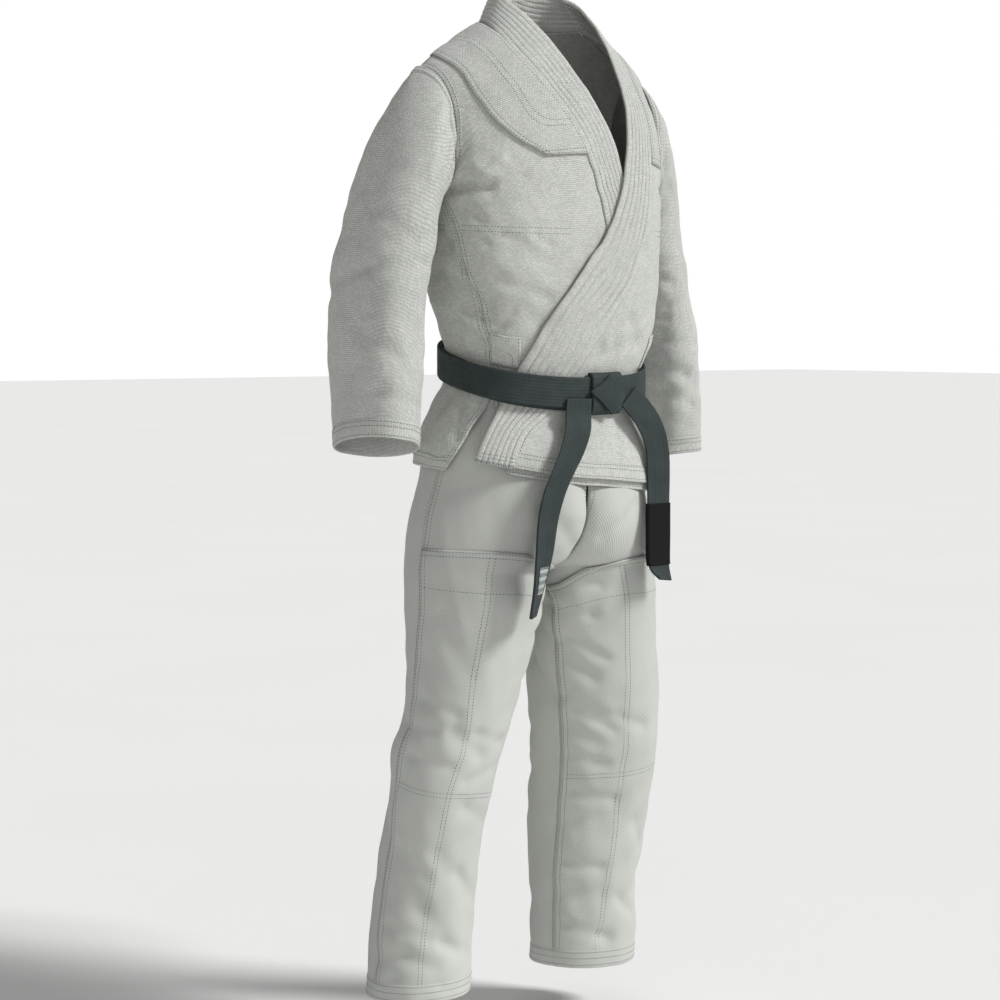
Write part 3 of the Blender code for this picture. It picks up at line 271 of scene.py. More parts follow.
Fold = namedtuple("Fold", "angleA levelA angleB levelB width rise")
torsoFolds = [      # right side, then left side and front, back, skirt
    Fold(-73, 1.242, -52, 1.242, 0.009, -0.005),
    Fold(-52, 1.242, -33, 1.252, 0.008, -0.004),
    Fold(-59, 1.262, -47, 1.250, 0.009, 0.004),
    Fold(-95, 1.200, -83, 1.165, 0.010, -0.006),
    Fold(-94, 1.125, -61, 1.080, 0.014, -0.012),
    Fold(-103, 1.082, -71, 1.067, 0.009, 0.005),
    Fold(-85, 1.062, -67, 1.032, 0.009, -0.007),
    Fold(-65, 1.112, -26, 1.067, 0.016, -0.0025),
    Fold(52, 1.245, 74, 1.240, 0.009, -0.005),
    Fold(96, 1.200, 82, 1.160, 0.010, -0.006),
    Fold(96, 1.120, 66, 1.085, 0.014, -0.009),
    Fold(88, 1.060, 70, 1.035, 0.010, -0.006),
    Fold(1, 1.030, 25, 1.052, 0.010, -0.004),
    Fold(1, 1.040, 17, 1.077, 0.009, -0.0035),
    Fold(6, 1.132, 28, 1.167, 0.009, -0.004),
    Fold(122, 1.235, 152, 1.190, 0.012, -0.005),
    Fold(238, 1.240, 206, 1.200, 0.012, -0.005),
    Fold(128, 1.085, 170, 1.050, 0.013, -0.007),
    Fold(178, 1.080, 232, 1.055, 0.014, -0.006),
    Fold(150, 1.130, 214, 1.120, 0.018, -0.004),
    Fold(-22, 0.955, -21, 0.930, 0.008, -0.004),
    Fold(-21, 0.930, -28, 0.897, 0.008, -0.003),
    Fold(150, 0.955, 156, 0.880, 0.010, -0.004),
    Fold(206, 0.955, 198, 0.890, 0.010, -0.004),
    Fold(262, 0.950, 255, 0.870, 0.011, -0.004),
]
sleeveFolds = {
    -1: [
        Fold(318, 0.41, 64, 0.45, 0.018, -0.003),
        Fold(0, 0.60, 94, 0.67, 0.022, -0.004),
        Fold(8, 0.78, 102, 0.72, 0.018, -0.003),
        Fold(150, 0.50, 250, 0.54, 0.014, -0.005),
        Fold(150, 0.60, 235, 0.62, 0.012, -0.005),
        Fold(200, 0.74, 290, 0.80, 0.016, -0.004),
    ],
    1: [
        Fold(134, 0.50, 106, 0.53, 0.009, -0.004),
        Fold(144, 0.62, 124, 0.63, 0.009, -0.004),
        Fold(162, 0.73, 96, 0.78, 0.010, -0.006),
        Fold(80, 0.81, 156, 0.88, 0.011, -0.004),
        Fold(122, 0.29, 92, 0.24, 0.010, -0.005),
        Fold(190, 0.52, 270, 0.56, 0.014, -0.005),
        Fold(200, 0.70, 300, 0.76, 0.016, -0.004),
    ],
}
legFolds = {
    -1: [
        Fold(-1, 0.480, 38, 0.477, 0.012, -0.004),
        Fold(62, 0.474, 98, 0.441, 0.013, -0.0045),
        Fold(90, 0.402, 126, 0.414, 0.011, -0.004),
        Fold(-1, 0.327, 53, 0.213, 0.028, -0.006),
        Fold(2, 0.132, 42, 0.144, 0.014, -0.004),
        Fold(42, 0.144, 76, 0.126, 0.014, -0.005),
        Fold(62, 0.210, 104, 0.141, 0.015, -0.004),
        Fold(72, 0.294, 119, 0.222, 0.015, -0.004),
        Fold(170, 0.630, 130, 0.600, 0.014, -0.005),
        Fold(172, 0.560, 140, 0.530, 0.014, -0.004),
        Fold(300, 0.430, 345, 0.440, 0.030, 0.008),
        Fold(215, 0.450, 300, 0.470, 0.016, -0.006),
        Fold(220, 0.380, 310, 0.370, 0.016, -0.006),
        Fold(210, 0.180, 300, 0.150, 0.018, -0.005),
        Fold(200, 0.640, 270, 0.680, 0.018, -0.005),
    ],
    1: [
        Fold(192, 0.621, 162, 0.582, 0.011, -0.005),
        Fold(198, 0.558, 167, 0.498, 0.011, -0.007),
        Fold(154, 0.564, 132, 0.531, 0.011, -0.005),
        Fold(155, 0.504, 122, 0.468, 0.012, -0.005),
        Fold(156, 0.453, 130, 0.429, 0.013, -0.004),
        Fold(160, 0.666, 114, 0.684, 0.012, -0.005),
        Fold(155, 0.300, 110, 0.318, 0.018, -0.004),
        Fold(161, 0.189, 114, 0.189, 0.016, -0.003),
        Fold(106, 0.123, 46, 0.207, 0.015, -0.005),
        Fold(215, 0.440, 305, 0.460, 0.016, -0.006),
        Fold(222, 0.375, 300, 0.365, 0.016, -0.005),
        Fold(212, 0.170, 305, 0.150, 0.018, -0.005),
        Fold(202, 0.650, 275, 0.690, 0.018, -0.005),
        Fold(20, 0.400, 352, 0.390, 0.018, -0.004),
    ],
}


def smooth(rows, key):
    # The table's columns at key, on a smooth curve through its rows.
    table = np.array(rows, float)
    knots, values = table[:, 0], table[:, 1:]
    slopes = np.gradient(values, knots, axis=0)
    key = np.clip(np.asarray(key, float), knots[0], knots[-1])
    i = np.clip(np.searchsorted(knots, key, side="right") - 1, 0, len(knots) - 2)
    span = (knots[i + 1] - knots[i])[..., None]
    t = (key - knots[i])[..., None] / span
    value = ((1 + 2 * t) * (1 - t) ** 2 * values[i] + t * (1 - t) ** 2 * span * slopes[i]
             + t * t * (3 - 2 * t) * values[i + 1] + t * t * (t - 1) * span * slopes[i + 1])
    return type(rows[0])(key, *np.moveaxis(value, -1, 0))


def ramp(value, start, end):
    # 0 at start, 1 at end, eased.
    t = np.clip((value - start) / (end - start), 0.0, 1.0)
    return t * t * (3 - 2 * t)


def rounded(value):
    return np.sign(value) * np.abs(value) ** (2 / square)


def unit(vector):
    return vector / np.linalg.norm(vector, axis=-1, keepdims=True)


def facing(surface, s, t, stepS, stepT):
    # Unit normal of a surface of two numbers.
    ds = surface(s + stepS, t) - surface(s - stepS, t)
    dt = surface(s, t + stepT) - surface(s, t - stepT)
    return unit(np.cross(ds, dt))


def foldHeight(points, folds, spot):
    # Soft troughs and ridges: each runs straight between two spots of the surface.
    height = np.zeros(points.shape[:-1])
    for fold in folds:
        start = spot(fold.angleA, fold.levelA)
        line = spot(fold.angleB, fold.levelB) - start
        share = np.clip(((points - start) @ line) / (line @ line), 0.0, 1.0)
        gap = np.linalg.norm(points - start - share[..., None] * line, axis=-1)
        height += fold.rise * np.exp(-(gap / fold.width) ** 2)
    return height


def bareTorso(angle, level):
    # The jacket's body without folds: angle 0 is its front, 90 its left side, 180 its back.
    angle, level = np.broadcast_arrays(np.asarray(angle, float), np.asarray(level, float))
    ring = smooth(torsoRings, np.minimum(level, armpitLevel))
    turn = np.radians(angle)
    depth = np.where(np.cos(turn) > 0, ring.front, ring.back)
    x = ring.centreX + ring.halfWidth * rounded(np.sin(turn))
    y = ring.centreY - depth * rounded(np.cos(turn))
    z = np.minimum(level, armpitLevel) - ring.tilt * np.cos(turn) - ring.roll * np.sin(turn)
    lift = np.maximum(level - armpitLevel, 0.0) / archRise * np.pi / 2
    ridgeX = shoulderSpread * np.sin(turn)
    ridge = smooth(ridgeRows, np.abs(ridgeX))
    over, up = 1 - np.cos(lift), np.sin(lift)
    return np.stack([x + (ridgeX - x) * over, y + (ridge.y - y) * over, z + (ridge.height - z) * up], -1)


def torso(angle, level, off=0.0):
    # The jacket's body with its folds, moved out by off.
    angle, level = np.broadcast_arrays(np.asarray(angle, float), np.asarray(level, float))
    points = bareTorso(angle, level)
    normal = facing(bareTorso, angle, level, 0.5, 0.002)
    folds = foldHeight(points, torsoFolds, bareTorso) * ramp(np.abs(level - beltLevel), 0.024, 0.05)
    return points + normal * (off + folds)[..., None]


def lap(angle, level):
    # How far the left front stands off the right one.
    return lapStand * ramp(angle, 86.0, 62.0) * ramp(level, 1.36, 1.29)


def frontSide(side, level):
    # Angle of a front's outer edge: vent, side seam, then armhole.
    share = np.clip((level - armpitLevel) / archRise, 0.0, 1.0)
    arm = 90.0 - (90.0 - tipAngle) * np.sqrt(1 - (1 - share) ** 2)
    return np.where(level > armpitLevel, arm, smooth(sideSeam[side], level).frontAngle)


def backSide(side, level):
    share = np.clip((level - armpitLevel) / archRise, 0.0, 1.0)
    arm = 90.0 + (90.0 - tipAngle) * np.sqrt(1 - (1 - share) ** 2)
    low = np.where(level > ventTop, smooth(sideSeam[side], level).frontAngle,
                   smooth(sideSeam[side], level).backAngle)
    return np.where(level > armpitLevel, arm, low)


def degreesFor(width, radius=0.15):
    return np.degrees(width / radius)


class Cloth:
    # A closed wall on a grid of places: place(s, t) is its middle, for s in across and t in
    # along.

    def __init__(self, name, place, across, along, thick, material, ring=False, side=0, room=0.0, push=None):
        self.name, self.thick, self.material, self.ring = name, thick, material, ring
        self.side, self.room = side, room     # a wall with a side stays there, where its twin begins
        self.place, self.across, self.along = place, np.asarray(across, float), np.asarray(along, float)
        across, along = np.asarray(across, float), np.asarray(along, float)
        s, t = np.meshgrid(across, along, indexing="ij")
        stepS, stepT = np.ptp(across) * 2e-4, np.ptp(along) * 2e-4
        low, high = (s - stepS, s + stepS) if ring else (
            np.maximum(s - stepS, across.min()), np.minimum(s + stepS, across.max()))
        under, over = np.maximum(t - stepT, along.min()), np.minimum(t + stepT, along.max())
        self.middle = place(s, t)
        self.normal = unit(np.cross(place(high, t) - place(low, t), place(s, over) - place(s, under)))
        if side:
            reach = seamGap / 2 + (thick / 2 + room) * np.abs(self.normal[..., 0])
            self.middle[..., 0] = side * np.maximum(side * self.middle[..., 0], reach)
        centre = self.middle.mean(axis=0, keepdims=True) if ring else np.array((side * legApart, 0.01, 0.0))
        away = (self.middle - centre) * (1.0, 1.0, 1.0 if ring else 0.0)
        if (self.normal * away).sum() < 0:
            self.normal = -self.normal
        self.push = self.normal if push is None else unit(np.array(push, float))
        self.lift = np.zeros(s.shape)
        self.grid(len(across) - 1, len(along) - 1)
        self.shape()
        bmesh.ops.recalc_face_normals(self.bm, faces=self.bm.faces)
        if self.bm.calc_volume(signed=True) < 0:
            bmesh.ops.reverse_faces(self.bm, faces=self.bm.faces)
        bmesh.ops.triangulate(self.bm, faces=self.bm.faces)

    def grid(self, columns, rows):
        bm = self.bm = bmesh.new()
        bmesh.ops.create_grid(bm, x_segments=columns, y_segments=rows, size=0.5)
        if self.ring:
            first = {round((v.co.y + 0.5) * rows): v for v in bm.verts if v.co.x < -0.49}
            ends = {v: first[round((v.co.y + 0.5) * rows)] for v in bm.verts if v.co.x > 0.49}
            bmesh.ops.weld_verts(bm, targetmap=ends)
        grown = set(bmesh.ops.extrude_face_region(bm, geom=bm.faces[:], use_keep_orig=True)["geom"])
        self.spot = {v: (round((v.co.x + 0.5) * columns), round((v.co.y + 0.5) * rows), v in grown)
                     for v in bm.verts}

    def shape(self, margin=0.0):
        # Put the wall's points in place, thicker by a margin for a test.
        middle = self.middle + self.push * self.lift[..., None] - hold
        outer = middle + self.normal * (self.thick / 2 + margin)
        inner = middle - self.normal * (self.thick / 2 + margin)
        for points in (outer, inner):
            if self.side:
                points[..., 0] = self.side * np.maximum(self.side * points[..., 0], seamGap / 2)
        for v, (i, j, grown) in self.spot.items():
            v.co = outer[i, j] if grown else inner[i, j]

    def clear(self, others, way=1, first=0):
        # Lift the wall out (way 1) or in (-1) until it clears the others, from one row on.
        trees = [BVHTree.FromBMesh(other.bm) for other in others if other is not self]
        if self in others:
            points = [v.co.copy() for v in self.bm.verts]
            self.bm.verts.index_update()
            faces = [[v.index for v in f.verts] for f in self.bm.faces
                     if all(self.spot[v][1] < first for v in f.verts)]
            trees.append(BVHTree.FromPolygons(points, faces))
        for _ in range(liftRounds):
            self.shape(layerGap)
            own = BVHTree.FromBMesh(self.bm)
            self.bm.faces.ensure_lookup_table()
            hit = {pair[0] for tree in trees for pair in own.overlap(tree)}
            spots = {self.spot[v][:2] for face in hit for v in self.bm.faces[face].verts}
            spots = {spot for spot in spots if spot[1] >= first}
            if not spots:
                break
            raised = np.zeros(self.lift.shape)
            for i, j in spots:
                around = raised[max(i - 1, 0):i + 2, max(j - 1, 0):j + 2]
                np.maximum(around, 0.4, out=around)
            for spot in spots:
                raised[spot] = 1.0
            self.lift += way * liftStep * raised
            if self.ring:
                self.lift[0] = self.lift[-1] = way * np.maximum(way * self.lift[0], way * self.lift[-1])
        self.shape()
        return self


def armLevels():
    # Levels of the rows beside the armhole, which the sleeve's first ring shares.
    steps = np.arange(armSteps, -1, -1) * np.pi / 2 / armSteps
    return armpitLevel + archRise * (1 - np.sin(steps))


def bodyLevels(hem, rows=12):
    return np.concatenate([[hem], np.linspace(0.865, armpitLevel, rows)[:-1], armLevels()])


def frontPanel(side, hem, material):
    # One front, from its side or armhole to the collar's seam edge.
    def place(share, level):
        outer = frontSide(side, level) - degreesFor(seamGap / 2)
        inner = smooth(frontEdge[side], level).seam + degreesFor(collarGap)
        angle = outer + (inner - outer) * share
        off = lap(angle, level) if side > 0 else 0.0
        return torso(side * angle, level, off)
    name = "jacket_front_" + ("left" if side > 0 else "right")
    levels = np.minimum(bodyLevels(hem), ridgeLevel - ridgeGap)
    return Cloth(name, place, np.linspace(0, 1, 12), levels, clothThick, material)


def neckLevel(angle):
    # Level of the back panel's upper edge: the shoulder line, then down round the nape.
    across = np.sin(np.radians(angle)) / np.sin(np.radians(neckAngle))
    dip = np.sqrt(np.clip(1 - across ** 2, 0.0, 1.0))
    return ridgeLevel - napeDrop * archRise * dip


def backPanel(hem, material):
    # The back, from the right side round to the left, up to the shoulder line and the nape.
    shares = np.concatenate([np.linspace(0, 0.5 - neckAngle / (2 * tipAngle), 6)[:-1],
                             0.5 - neckAngle / (2 * tipAngle) * np.cos(np.linspace(0, np.pi, 7)),
                             np.linspace(0.5 + neckAngle / (2 * tipAngle), 1, 6)[1:]])

    def place(share, level):
        start = backSide(1, level) + degreesFor(seamGap / 2)
        end = 360.0 - backSide(-1, level) - degreesFor(seamGap / 2)
        angle = start + (end - start) * share
        rise = np.clip((level - armpitLevel) / archRise, 0.0, 1.0)
        top = np.minimum(neckLevel(angle), ridgeLevel) - ridgeGap
        level = np.where(level > armpitLevel, armpitLevel + rise * (top - armpitLevel), level)
        return torso(angle, level)
    return Cloth("jacket_back", place, shares, bodyLevels(hem), clothThick, material)


def collarPlace(share, station):
    # The collar: station runs -2 (right hem), -1 (right neck point), 1 (left), 2 (left hem).
    side = np.where(station < 0, -1, 1)
    along = np.abs(station)
    frontLevel = ridgeLevel - (ridgeLevel - lapelHem) * np.clip(along - 1, 0.0, 1.0)
    backAngle = 180.0 - neckAngle * np.sin(np.clip(along, 0.0, 1.0) * np.pi / 2)
    edges = [smooth(frontEdge[s], frontLevel) for s in (-1, 1)]
    seam = np.where(side < 0, edges[0].seam, edges[1].seam)
    free = np.where(side < 0, edges[0].free, edges[1].free)
    angle = np.where(along > 1, seam, backAngle)
    level = np.where(along > 1, frontLevel, neckLevel(backAngle))
    off = np.where((side > 0) & (along > 1), lap(seam, level), 0.0)
    edge = torso(side * angle, level, off)
    offFree = np.where((side > 0) & (along > 1), lap(free, level), 0.0)
    lying = torso(side * (seam + (free - seam) * share), frontLevel, offFree * share + off * (1 - share))
    lyingFree = torso(side * free, frontLevel, offFree)
    lyingEnd = lyingFree - edge
    radial = edge - np.array((0.0, 0.02, 0.0))
    radial[..., 2] = 0.0
    radial = unit(radial)
    lean = 0.25 + 0.4 * np.clip(along, 0.0, 1.0) ** 2
    stand = unit(np.array((0.0, 0.0, 1.0)) - radial * lean[..., None]) * collarWidth
    upright = ramp(frontLevel, 1.30, ridgeLevel)
    upright = np.where(along > 1, upright, 1.0)[..., None]
    foot = collarFoot[0] + (collarFoot[1] - collarFoot[0]) * upright[..., 0]
    share = foot + (1 - foot) * share
    chord = lyingEnd * (1 - upright) + stand * upright
    length = np.linalg.norm(lyingEnd, axis=-1, keepdims=True) * (1 - upright) + collarWidth * upright
    chord = unit(chord) * length
    sag = (lying - edge - lyingEnd * share[..., None]) * (1 - upright)
    return edge + chord * share[..., None] + sag


def collar(material):
    shares = np.linspace(0.0, 1.0, 4)
    down = 1 + (ridgeLevel - bodyLevels(lapelHem)[::-1]) / (ridgeLevel - lapelHem)
    stations = np.concatenate([-down[:0:-1], np.linspace(-1, 1, 13), down[1:]])
    return Cloth("collar", collarPlace, shares, stations, collarThick, material)


def armhole(side, around, off=clothThick + seamGap + 0.00005):
    # The armhole's loop: around 0 is the shoulder tip, 90 in front, 180 the armpit.
    around = np.mod(around, 360.0)
    turn = np.radians(np.where(around > 180, 360 - around, around) / 2)
    angle = 90.0 - (90.0 - tipAngle) * np.cos(turn)
    angle = np.where(around > 180, 180.0 - angle, angle)
    level = armpitLevel + archRise * (1 - np.sin(turn))
    return torso(side * angle, level, off)


def besideBody(side, points):
    # The points' x, moved out where they would lie inside the jacket's body.
    x, y, z = points[..., 0], points[..., 1], points[..., 2]
    ring = smooth(torsoRings, np.minimum(z, armpitLevel))
    depth = np.where(y < ring.centreY, ring.front, ring.back)
    left = np.clip(1 - np.abs((y - ring.centreY) / depth) ** square, 0.0, 1.0)
    body = side * ring.centreX + ring.halfWidth * left ** (1 / square) + besideGap
    into = np.maximum(body - side * x, 0.0) * ramp(z, armpitLevel + 0.07, armpitLevel + 0.02)
    return x + side * into


def bareSleeve(side, around, along):
    around, along = np.broadcast_arrays(np.asarray(around, float), np.asarray(along, float))
    ring = smooth(sleeveRings[side], along)
    turn, lean = np.radians(around), np.radians(ring.lean)
    out, front = ring.reach * rounded(np.cos(turn)), ring.depth * np.sin(turn)
    droop = ring.droop * (np.cos(turn) + np.sin(turn))
    own = np.stack([side * (ring.x + out * np.cos(lean)), ring.y - front,
                    ring.z + out * np.sin(lean) + droop], -1)
    own[..., 0] = besideBody(side, own)
    share = ramp(along, -0.02, capShare)[..., None]
    share = np.where(along[..., None] <= 0, 0.0, share)
    return armhole(side, around) * (1 - share) + own * share


def sleeve(side, material):
    def place(around, along):
        def bare(a, b):
            return bareSleeve(side, a, b)
        points = bare(around, along)
        normal = facing(bare, around, np.clip(along, 0.003, 1.0), 1.0, 0.002) * side
        height = foldHeight(points, sleeveFolds[side], bare) * ramp(along, 0.0, 0.12)
        return points + normal * height[..., None]
    name = "sleeve_" + ("left" if side > 0 else "right")
    around = np.linspace(0, 360, 2 * armSteps + 1)
    along = np.array((0, 0.03, 0.07, 0.12, 0.17, 0.23, 0.3, 0.37, 0.44, 0.52, 0.6, 0.7, 0.8, 0.9, 1.0))
    push = (armhole(side, around, 0.01) - armhole(side, around, 0.0))[:, None, :]
    return Cloth(name, place, around, along, clothThick, material, ring=True, push=push)


def bareLeg(side, around, level):
    # The trousers: around 0 is the outer side, 90 the front, 180 the inner side, 270 the back.
    around, level = np.broadcast_arrays(np.asarray(around, float), np.asarray(level, float))
    ring = smooth(legRings[side], np.minimum(level, riseTop))
    turn = np.radians(around)
    inward = (1 - np.cos(turn)) / 2
    bend = np.clip((level - crotchLevel) / (riseTop - crotchLevel), 0.0, 1.0) * np.pi / 2
    front = np.sin(turn) >= 0
    seat = np.where(front, seatFront, seatBack)
    innerY = np.where(level > crotchLevel, ring.centreY + (seat - ring.centreY) * np.sin(bend), ring.centreY)
    innerZ = np.where(level > crotchLevel, crotchLevel + (riseTop - crotchLevel) * (1 - np.cos(bend)), level)
    innerZ = np.where(level > riseTop, level, innerZ)
    middle, half = (ring.outerX + ring.innerX) / 2, (ring.outerX - ring.innerX) / 2
    x = middle + half * np.cos(turn) + ring.shear * np.sin(turn)
    y = ring.centreY + (innerY - ring.centreY) * inward - np.where(front, ring.front, ring.back) * np.sin(turn)
    z = level + (innerZ - level) * inward ** 2
    own = np.stack([side * x, y, z], -1)
    angle = np.where(np.mod(around, 360) <= 180, 90 - np.mod(around, 360) / 2,
                     90 + (360 - np.mod(around, 360)) / 2)
    depth = smooth(insetRows, level).depth
    normal = facing(bareTorso, side * angle, level, 0.5, 0.002)
    worn = bareTorso(side * angle, level) - normal * depth[..., None]
    share = ramp(level, hipLow, hipHigh)[..., None]
    return own * (1 - share) + worn * share


def leg(side, around, level, off=0.0):
    def bare(a, b):
        return bareLeg(side, a, b)
    points = bare(around, level)
    normal = -facing(bare, around, level, 0.5, 0.002) * side
    height = off + foldHeight(points, legFolds[side], bare)
    return points + normal * np.asarray(height)[..., None]


legLevels = np.concatenate([np.linspace(legHem, 0.68, 14), [crotchLevel, 0.715, 0.735, 0.77, 0.805, riseTop],
                             [0.87, 0.91, 0.9643]])


def inseam(level):
    # Where the inseam runs: turned to the front on the leg, at the centre seam above the crotch.
    return 180.0 - 17.0 * ramp(level, crotchLevel, crotchLevel - 0.06)


def panelPlace(side, front, off=0.0):
    # Place on a front or back panel, by share of its width and level.
    gap = degreesFor(seamGap / 2, 0.09)

    def place(share, level):
        inner = inseam(level)
        start = outseamAngle + gap if front else 360 + outseamAngle - gap
        end = inner - gap if front else inner + gap
        return leg(side, start + (end - start) * share, level, off)
    return place


def trouserPanel(side, front, material):
    # A front or back panel, from the outseam to the inseam and the centre seam.
    name = "trouser_" + ("front_" if front else "back_") + ("left" if side > 0 else "right")
    place = panelPlace(side, front)
    shares = np.linspace(0, 1, panelColumns)
    return Cloth(name, place, shares, legLevels, clothThick, material, side=side, room=onPanel)


def kneePatch(side, material):
    # The second layer over the front of a leg, from the double seam on the thigh to the hem.
    name = "knee_patch_" + ("left" if side > 0 else "right")
    levels = legLevels[legLevels < patchTop[side] + clothThick]
    overPanel = panelPlace(side, True, onPanel)

    def place(share, level):
        dip = patchDip * ramp(share, 0.5, 1.0) * np.clip((level - patchBend) / (patchTop[side] - patchBend), 0.0, 1.0)
        return overPanel(share, level - dip)
    return Cloth(name, place, np.linspace(0, 1, panelColumns), levels, overlayThick, material, side=side)


def waistband(material):
    def place(angle, level):
        return torso(angle, level, -(clothThick / 2 + seamGap + 0.0015))
    return Cloth("waistband", place, np.linspace(0, 360, 37), (0.965, 0.985, 1.005), 0.003, material, ring=True)


def yoke(material):
    # Second layer from the collar's seam edge out over the shoulders, and round the nape.
    def place(share, station):
        side = np.where(station < 0, -1, 1)
        along = np.abs(station)
        frontLevel = ridgeLevel - (ridgeLevel - yokeLow) * np.clip(along - 1, 0.0, 1.0)
        seam = np.where(side < 0, smooth(frontEdge[-1], frontLevel).seam, smooth(frontEdge[1], frontLevel).seam)
        outer = np.where(side < 0, smooth(yokeEdge[-1], frontLevel).outer, smooth(yokeEdge[1], frontLevel).outer)
        inner = seam + 0.3 + 2.2 * ramp(frontLevel, 1.38, ridgeLevel)
        frontAngle = inner + (outer - inner) * share
        lean = np.clip(along, 0.0, 1.0) * np.pi / 2
        backSeam = neckAngle * np.sin(lean)
        backOuter = yokeEdge[1][-1].outer * np.sin(lean)
        backAngle = 180 - (backSeam + (backOuter - backSeam) * share)
        innerLevel = neckLevel(180 - backSeam) - 0.008
        outerLevel = ridgeLevel - yokeDrop * np.cos(lean)
        backLevel = innerLevel + (outerLevel - innerLevel) * share
        angle = np.where(along > 1, frontAngle, backAngle)
        level = np.where(along > 1, frontLevel, backLevel)
        off = onPanel + np.where((side > 0) & (along > 1), lap(frontAngle, frontLevel), 0.0)
        return torso(side * angle, level, off)
    stations = np.concatenate([np.linspace(-2, -1, 8)[:-1], np.linspace(-1, 1, 15), np.linspace(1, 2, 8)[1:]])
    return Cloth("shoulder_yoke", place, np.linspace(0, 1, 6), stations, overlayThick, material)


def ventPatch(side, material):
    # The small reinforcement on the front, at the top of the side vent.
    def place(angle, level):
        off = onPanel + (lap(angle, level) if side > 0 else 0.0)
        return torso(side * angle, level, off)
    name = "vent_patch_" + ("left" if side > 0 else "right")
    return Cloth(name, place, np.linspace(62.5, 41.0, 7), np.linspace(1.010, 1.050, 4), overlayThick, material)


def girdle(angle):
    # Middle of the belt's inner turn, off the jacket's surface.
    stand = lapStand + collarThick / 2 - clothThick / 2 + 0.0005
    return clothThick / 2 + seamGap + beltThick / 2 + stand * ramp(np.abs(angle), 100.0, 72.0)


def roundBelt(angle, level, off):
    # A point of the belt's upright band, which takes no folds.
    angle, level = np.broadcast_arrays(np.asarray(angle, float), np.asarray(level, float))
    normal = facing(bareTorso, angle, np.full(level.shape, beltLevel), 0.5, 0.002)
    normal[..., 2] = 0.0
    points = bareTorso(angle, np.full(level.shape, beltLevel)) + unit(normal) * np.asarray(off)[..., None]
    points[..., 2] += level - beltLevel
    return points


def beltTurn(name, outer, drop, material):
    def place(angle, level):
        turned = np.mod(angle + 180, 360) - 180
        off = girdle(turned) + outer * (beltThick + seamGap)
        return roundBelt(angle, level - drop * np.cos(np.radians(angle)), off)
    half = beltWidth / 2
    levels = (beltLevel - half, beltLevel + half)
    return Cloth(name, place, np.linspace(0, 360, 61), levels, beltThick, material, ring=True)


Wrap = namedtuple("Wrap", "off level")
knotRows = [        # the knot's strap in section, from under the belt round its face to the top
    Wrap(-0.0062, -0.0300),
    Wrap(-0.0030, -0.0302),
    Wrap(-0.0002, -0.0275),
    Wrap(0.0023, -0.0195),
    Wrap(0.0033, 0.0),
    Wrap(0.0023, 0.0190),
    Wrap(-0.0002, 0.0247),
    Wrap(-0.0030, 0.0258),
    Wrap(-0.0058, 0.0256),
]


def knotWrap(material):
    # The strap of the knot that holds both turns of the belt together.
    table = [(i, *row) for i, row in enumerate(knotRows)]
    Row = namedtuple("Row", "step off level")
    rows = [Row(*row) for row in table]

    def place(angle, step):
        row = smooth(rows, step)
        face = girdle(0.0) + beltThick * 1.5 + seamGap
        return roundBelt(angle, beltLevel + row.level, face + row.off)
    return Cloth("belt_knot_wrap", place, np.linspace(-1, 16, 6), np.linspace(0, 8, 15), beltThick, material)


def knotFlap(material):
    # The strap that crosses the knot's face, from its upper left to its lower right.
    def place(share, step):
        angle = 2.0 + 10.0 * step + (share - 0.5) * 9.0
        level = beltLevel + 0.014 - 0.034 * step + (share - 0.5) * 0.024
        off = girdle(0.0) + beltThick * 2.5 + 2 * seamGap + 0.0036 + 0.002 * np.sin(np.pi * share)
        return roundBelt(angle, level, off)
    return Cloth("belt_knot_flap", place, np.linspace(0, 1, 6), np.linspace(0, 1, 7), 0.003, material)


Strap = namedtuple("Strap", "step x y z turn lean")
tailRows = {            # middle of the strap, and how its width turns from +X and leans up
    -1: [
        Strap(0, -0.0250, -0.1234, 0.946, -3.5, 0.0),
        Strap(1, -0.0290, -0.1262, 0.928, -4.0, 0.0),
        Strap(2, -0.0390, -0.1370, 0.900, -6.0, 2.0),
        Strap(3, -0.0560, -0.1436, 0.870, -4.0, 4.0),
        Strap(4, -0.0740, -0.1455, 0.842, 0.0, 5.0),
        Strap(5, -0.0860, -0.1430, 0.815, 5.0, 3.0),
        Strap(6, -0.0924, -0.1372, 0.778, 12.0, 0.0),
        Strap(7, -0.0949, -0.1314, 0.726, 20.0, 0.0),
        Strap(8, -0.0979, -0.1241, 0.682, 33.0, 0.0),
        Strap(9, -0.1026, -0.1165, 0.640, 42.0, 0.0),
    ],
    1: [
        Strap(0, 0.0740, -0.1152, 0.948, 13.0, 38.0),
        Strap(1, 0.0890, -0.1230, 0.929, 8.0, 40.0),
        Strap(2, 0.1050, -0.1245, 0.909, 2.0, 34.0),
        Strap(3, 0.1180, -0.1232, 0.887, 0.0, 18.0),
        Strap(4, 0.1255, -0.1212, 0.862, 0.0, 5.0),
        Strap(5, 0.1284, -0.1193, 0.835, 0.0, 0.0),
        Strap(6, 0.1305, -0.1172, 0.791, 3.0, 0.0),
        Strap(7, 0.1320, -0.1158, 0.744, 4.0, 0.0),
        Strap(8, 0.1340, -0.1154, 0.700, 8.0, 0.0),
        Strap(9, 0.1440, -0.1187, 0.678, 26.0, -8.0),
    ],
}


def strapFrame(side, step):
    # Middle and width direction of a belt end.
    row = smooth(tailRows[side], step)
    turn, lean = np.radians(row.turn), np.radians(row.lean)
    middle = np.stack([row.x, row.y, row.z], -1)
    width = np.stack([np.cos(turn) * np.cos(lean), np.sin(turn) * np.cos(lean), np.sin(lean)], -1)
    return middle, width


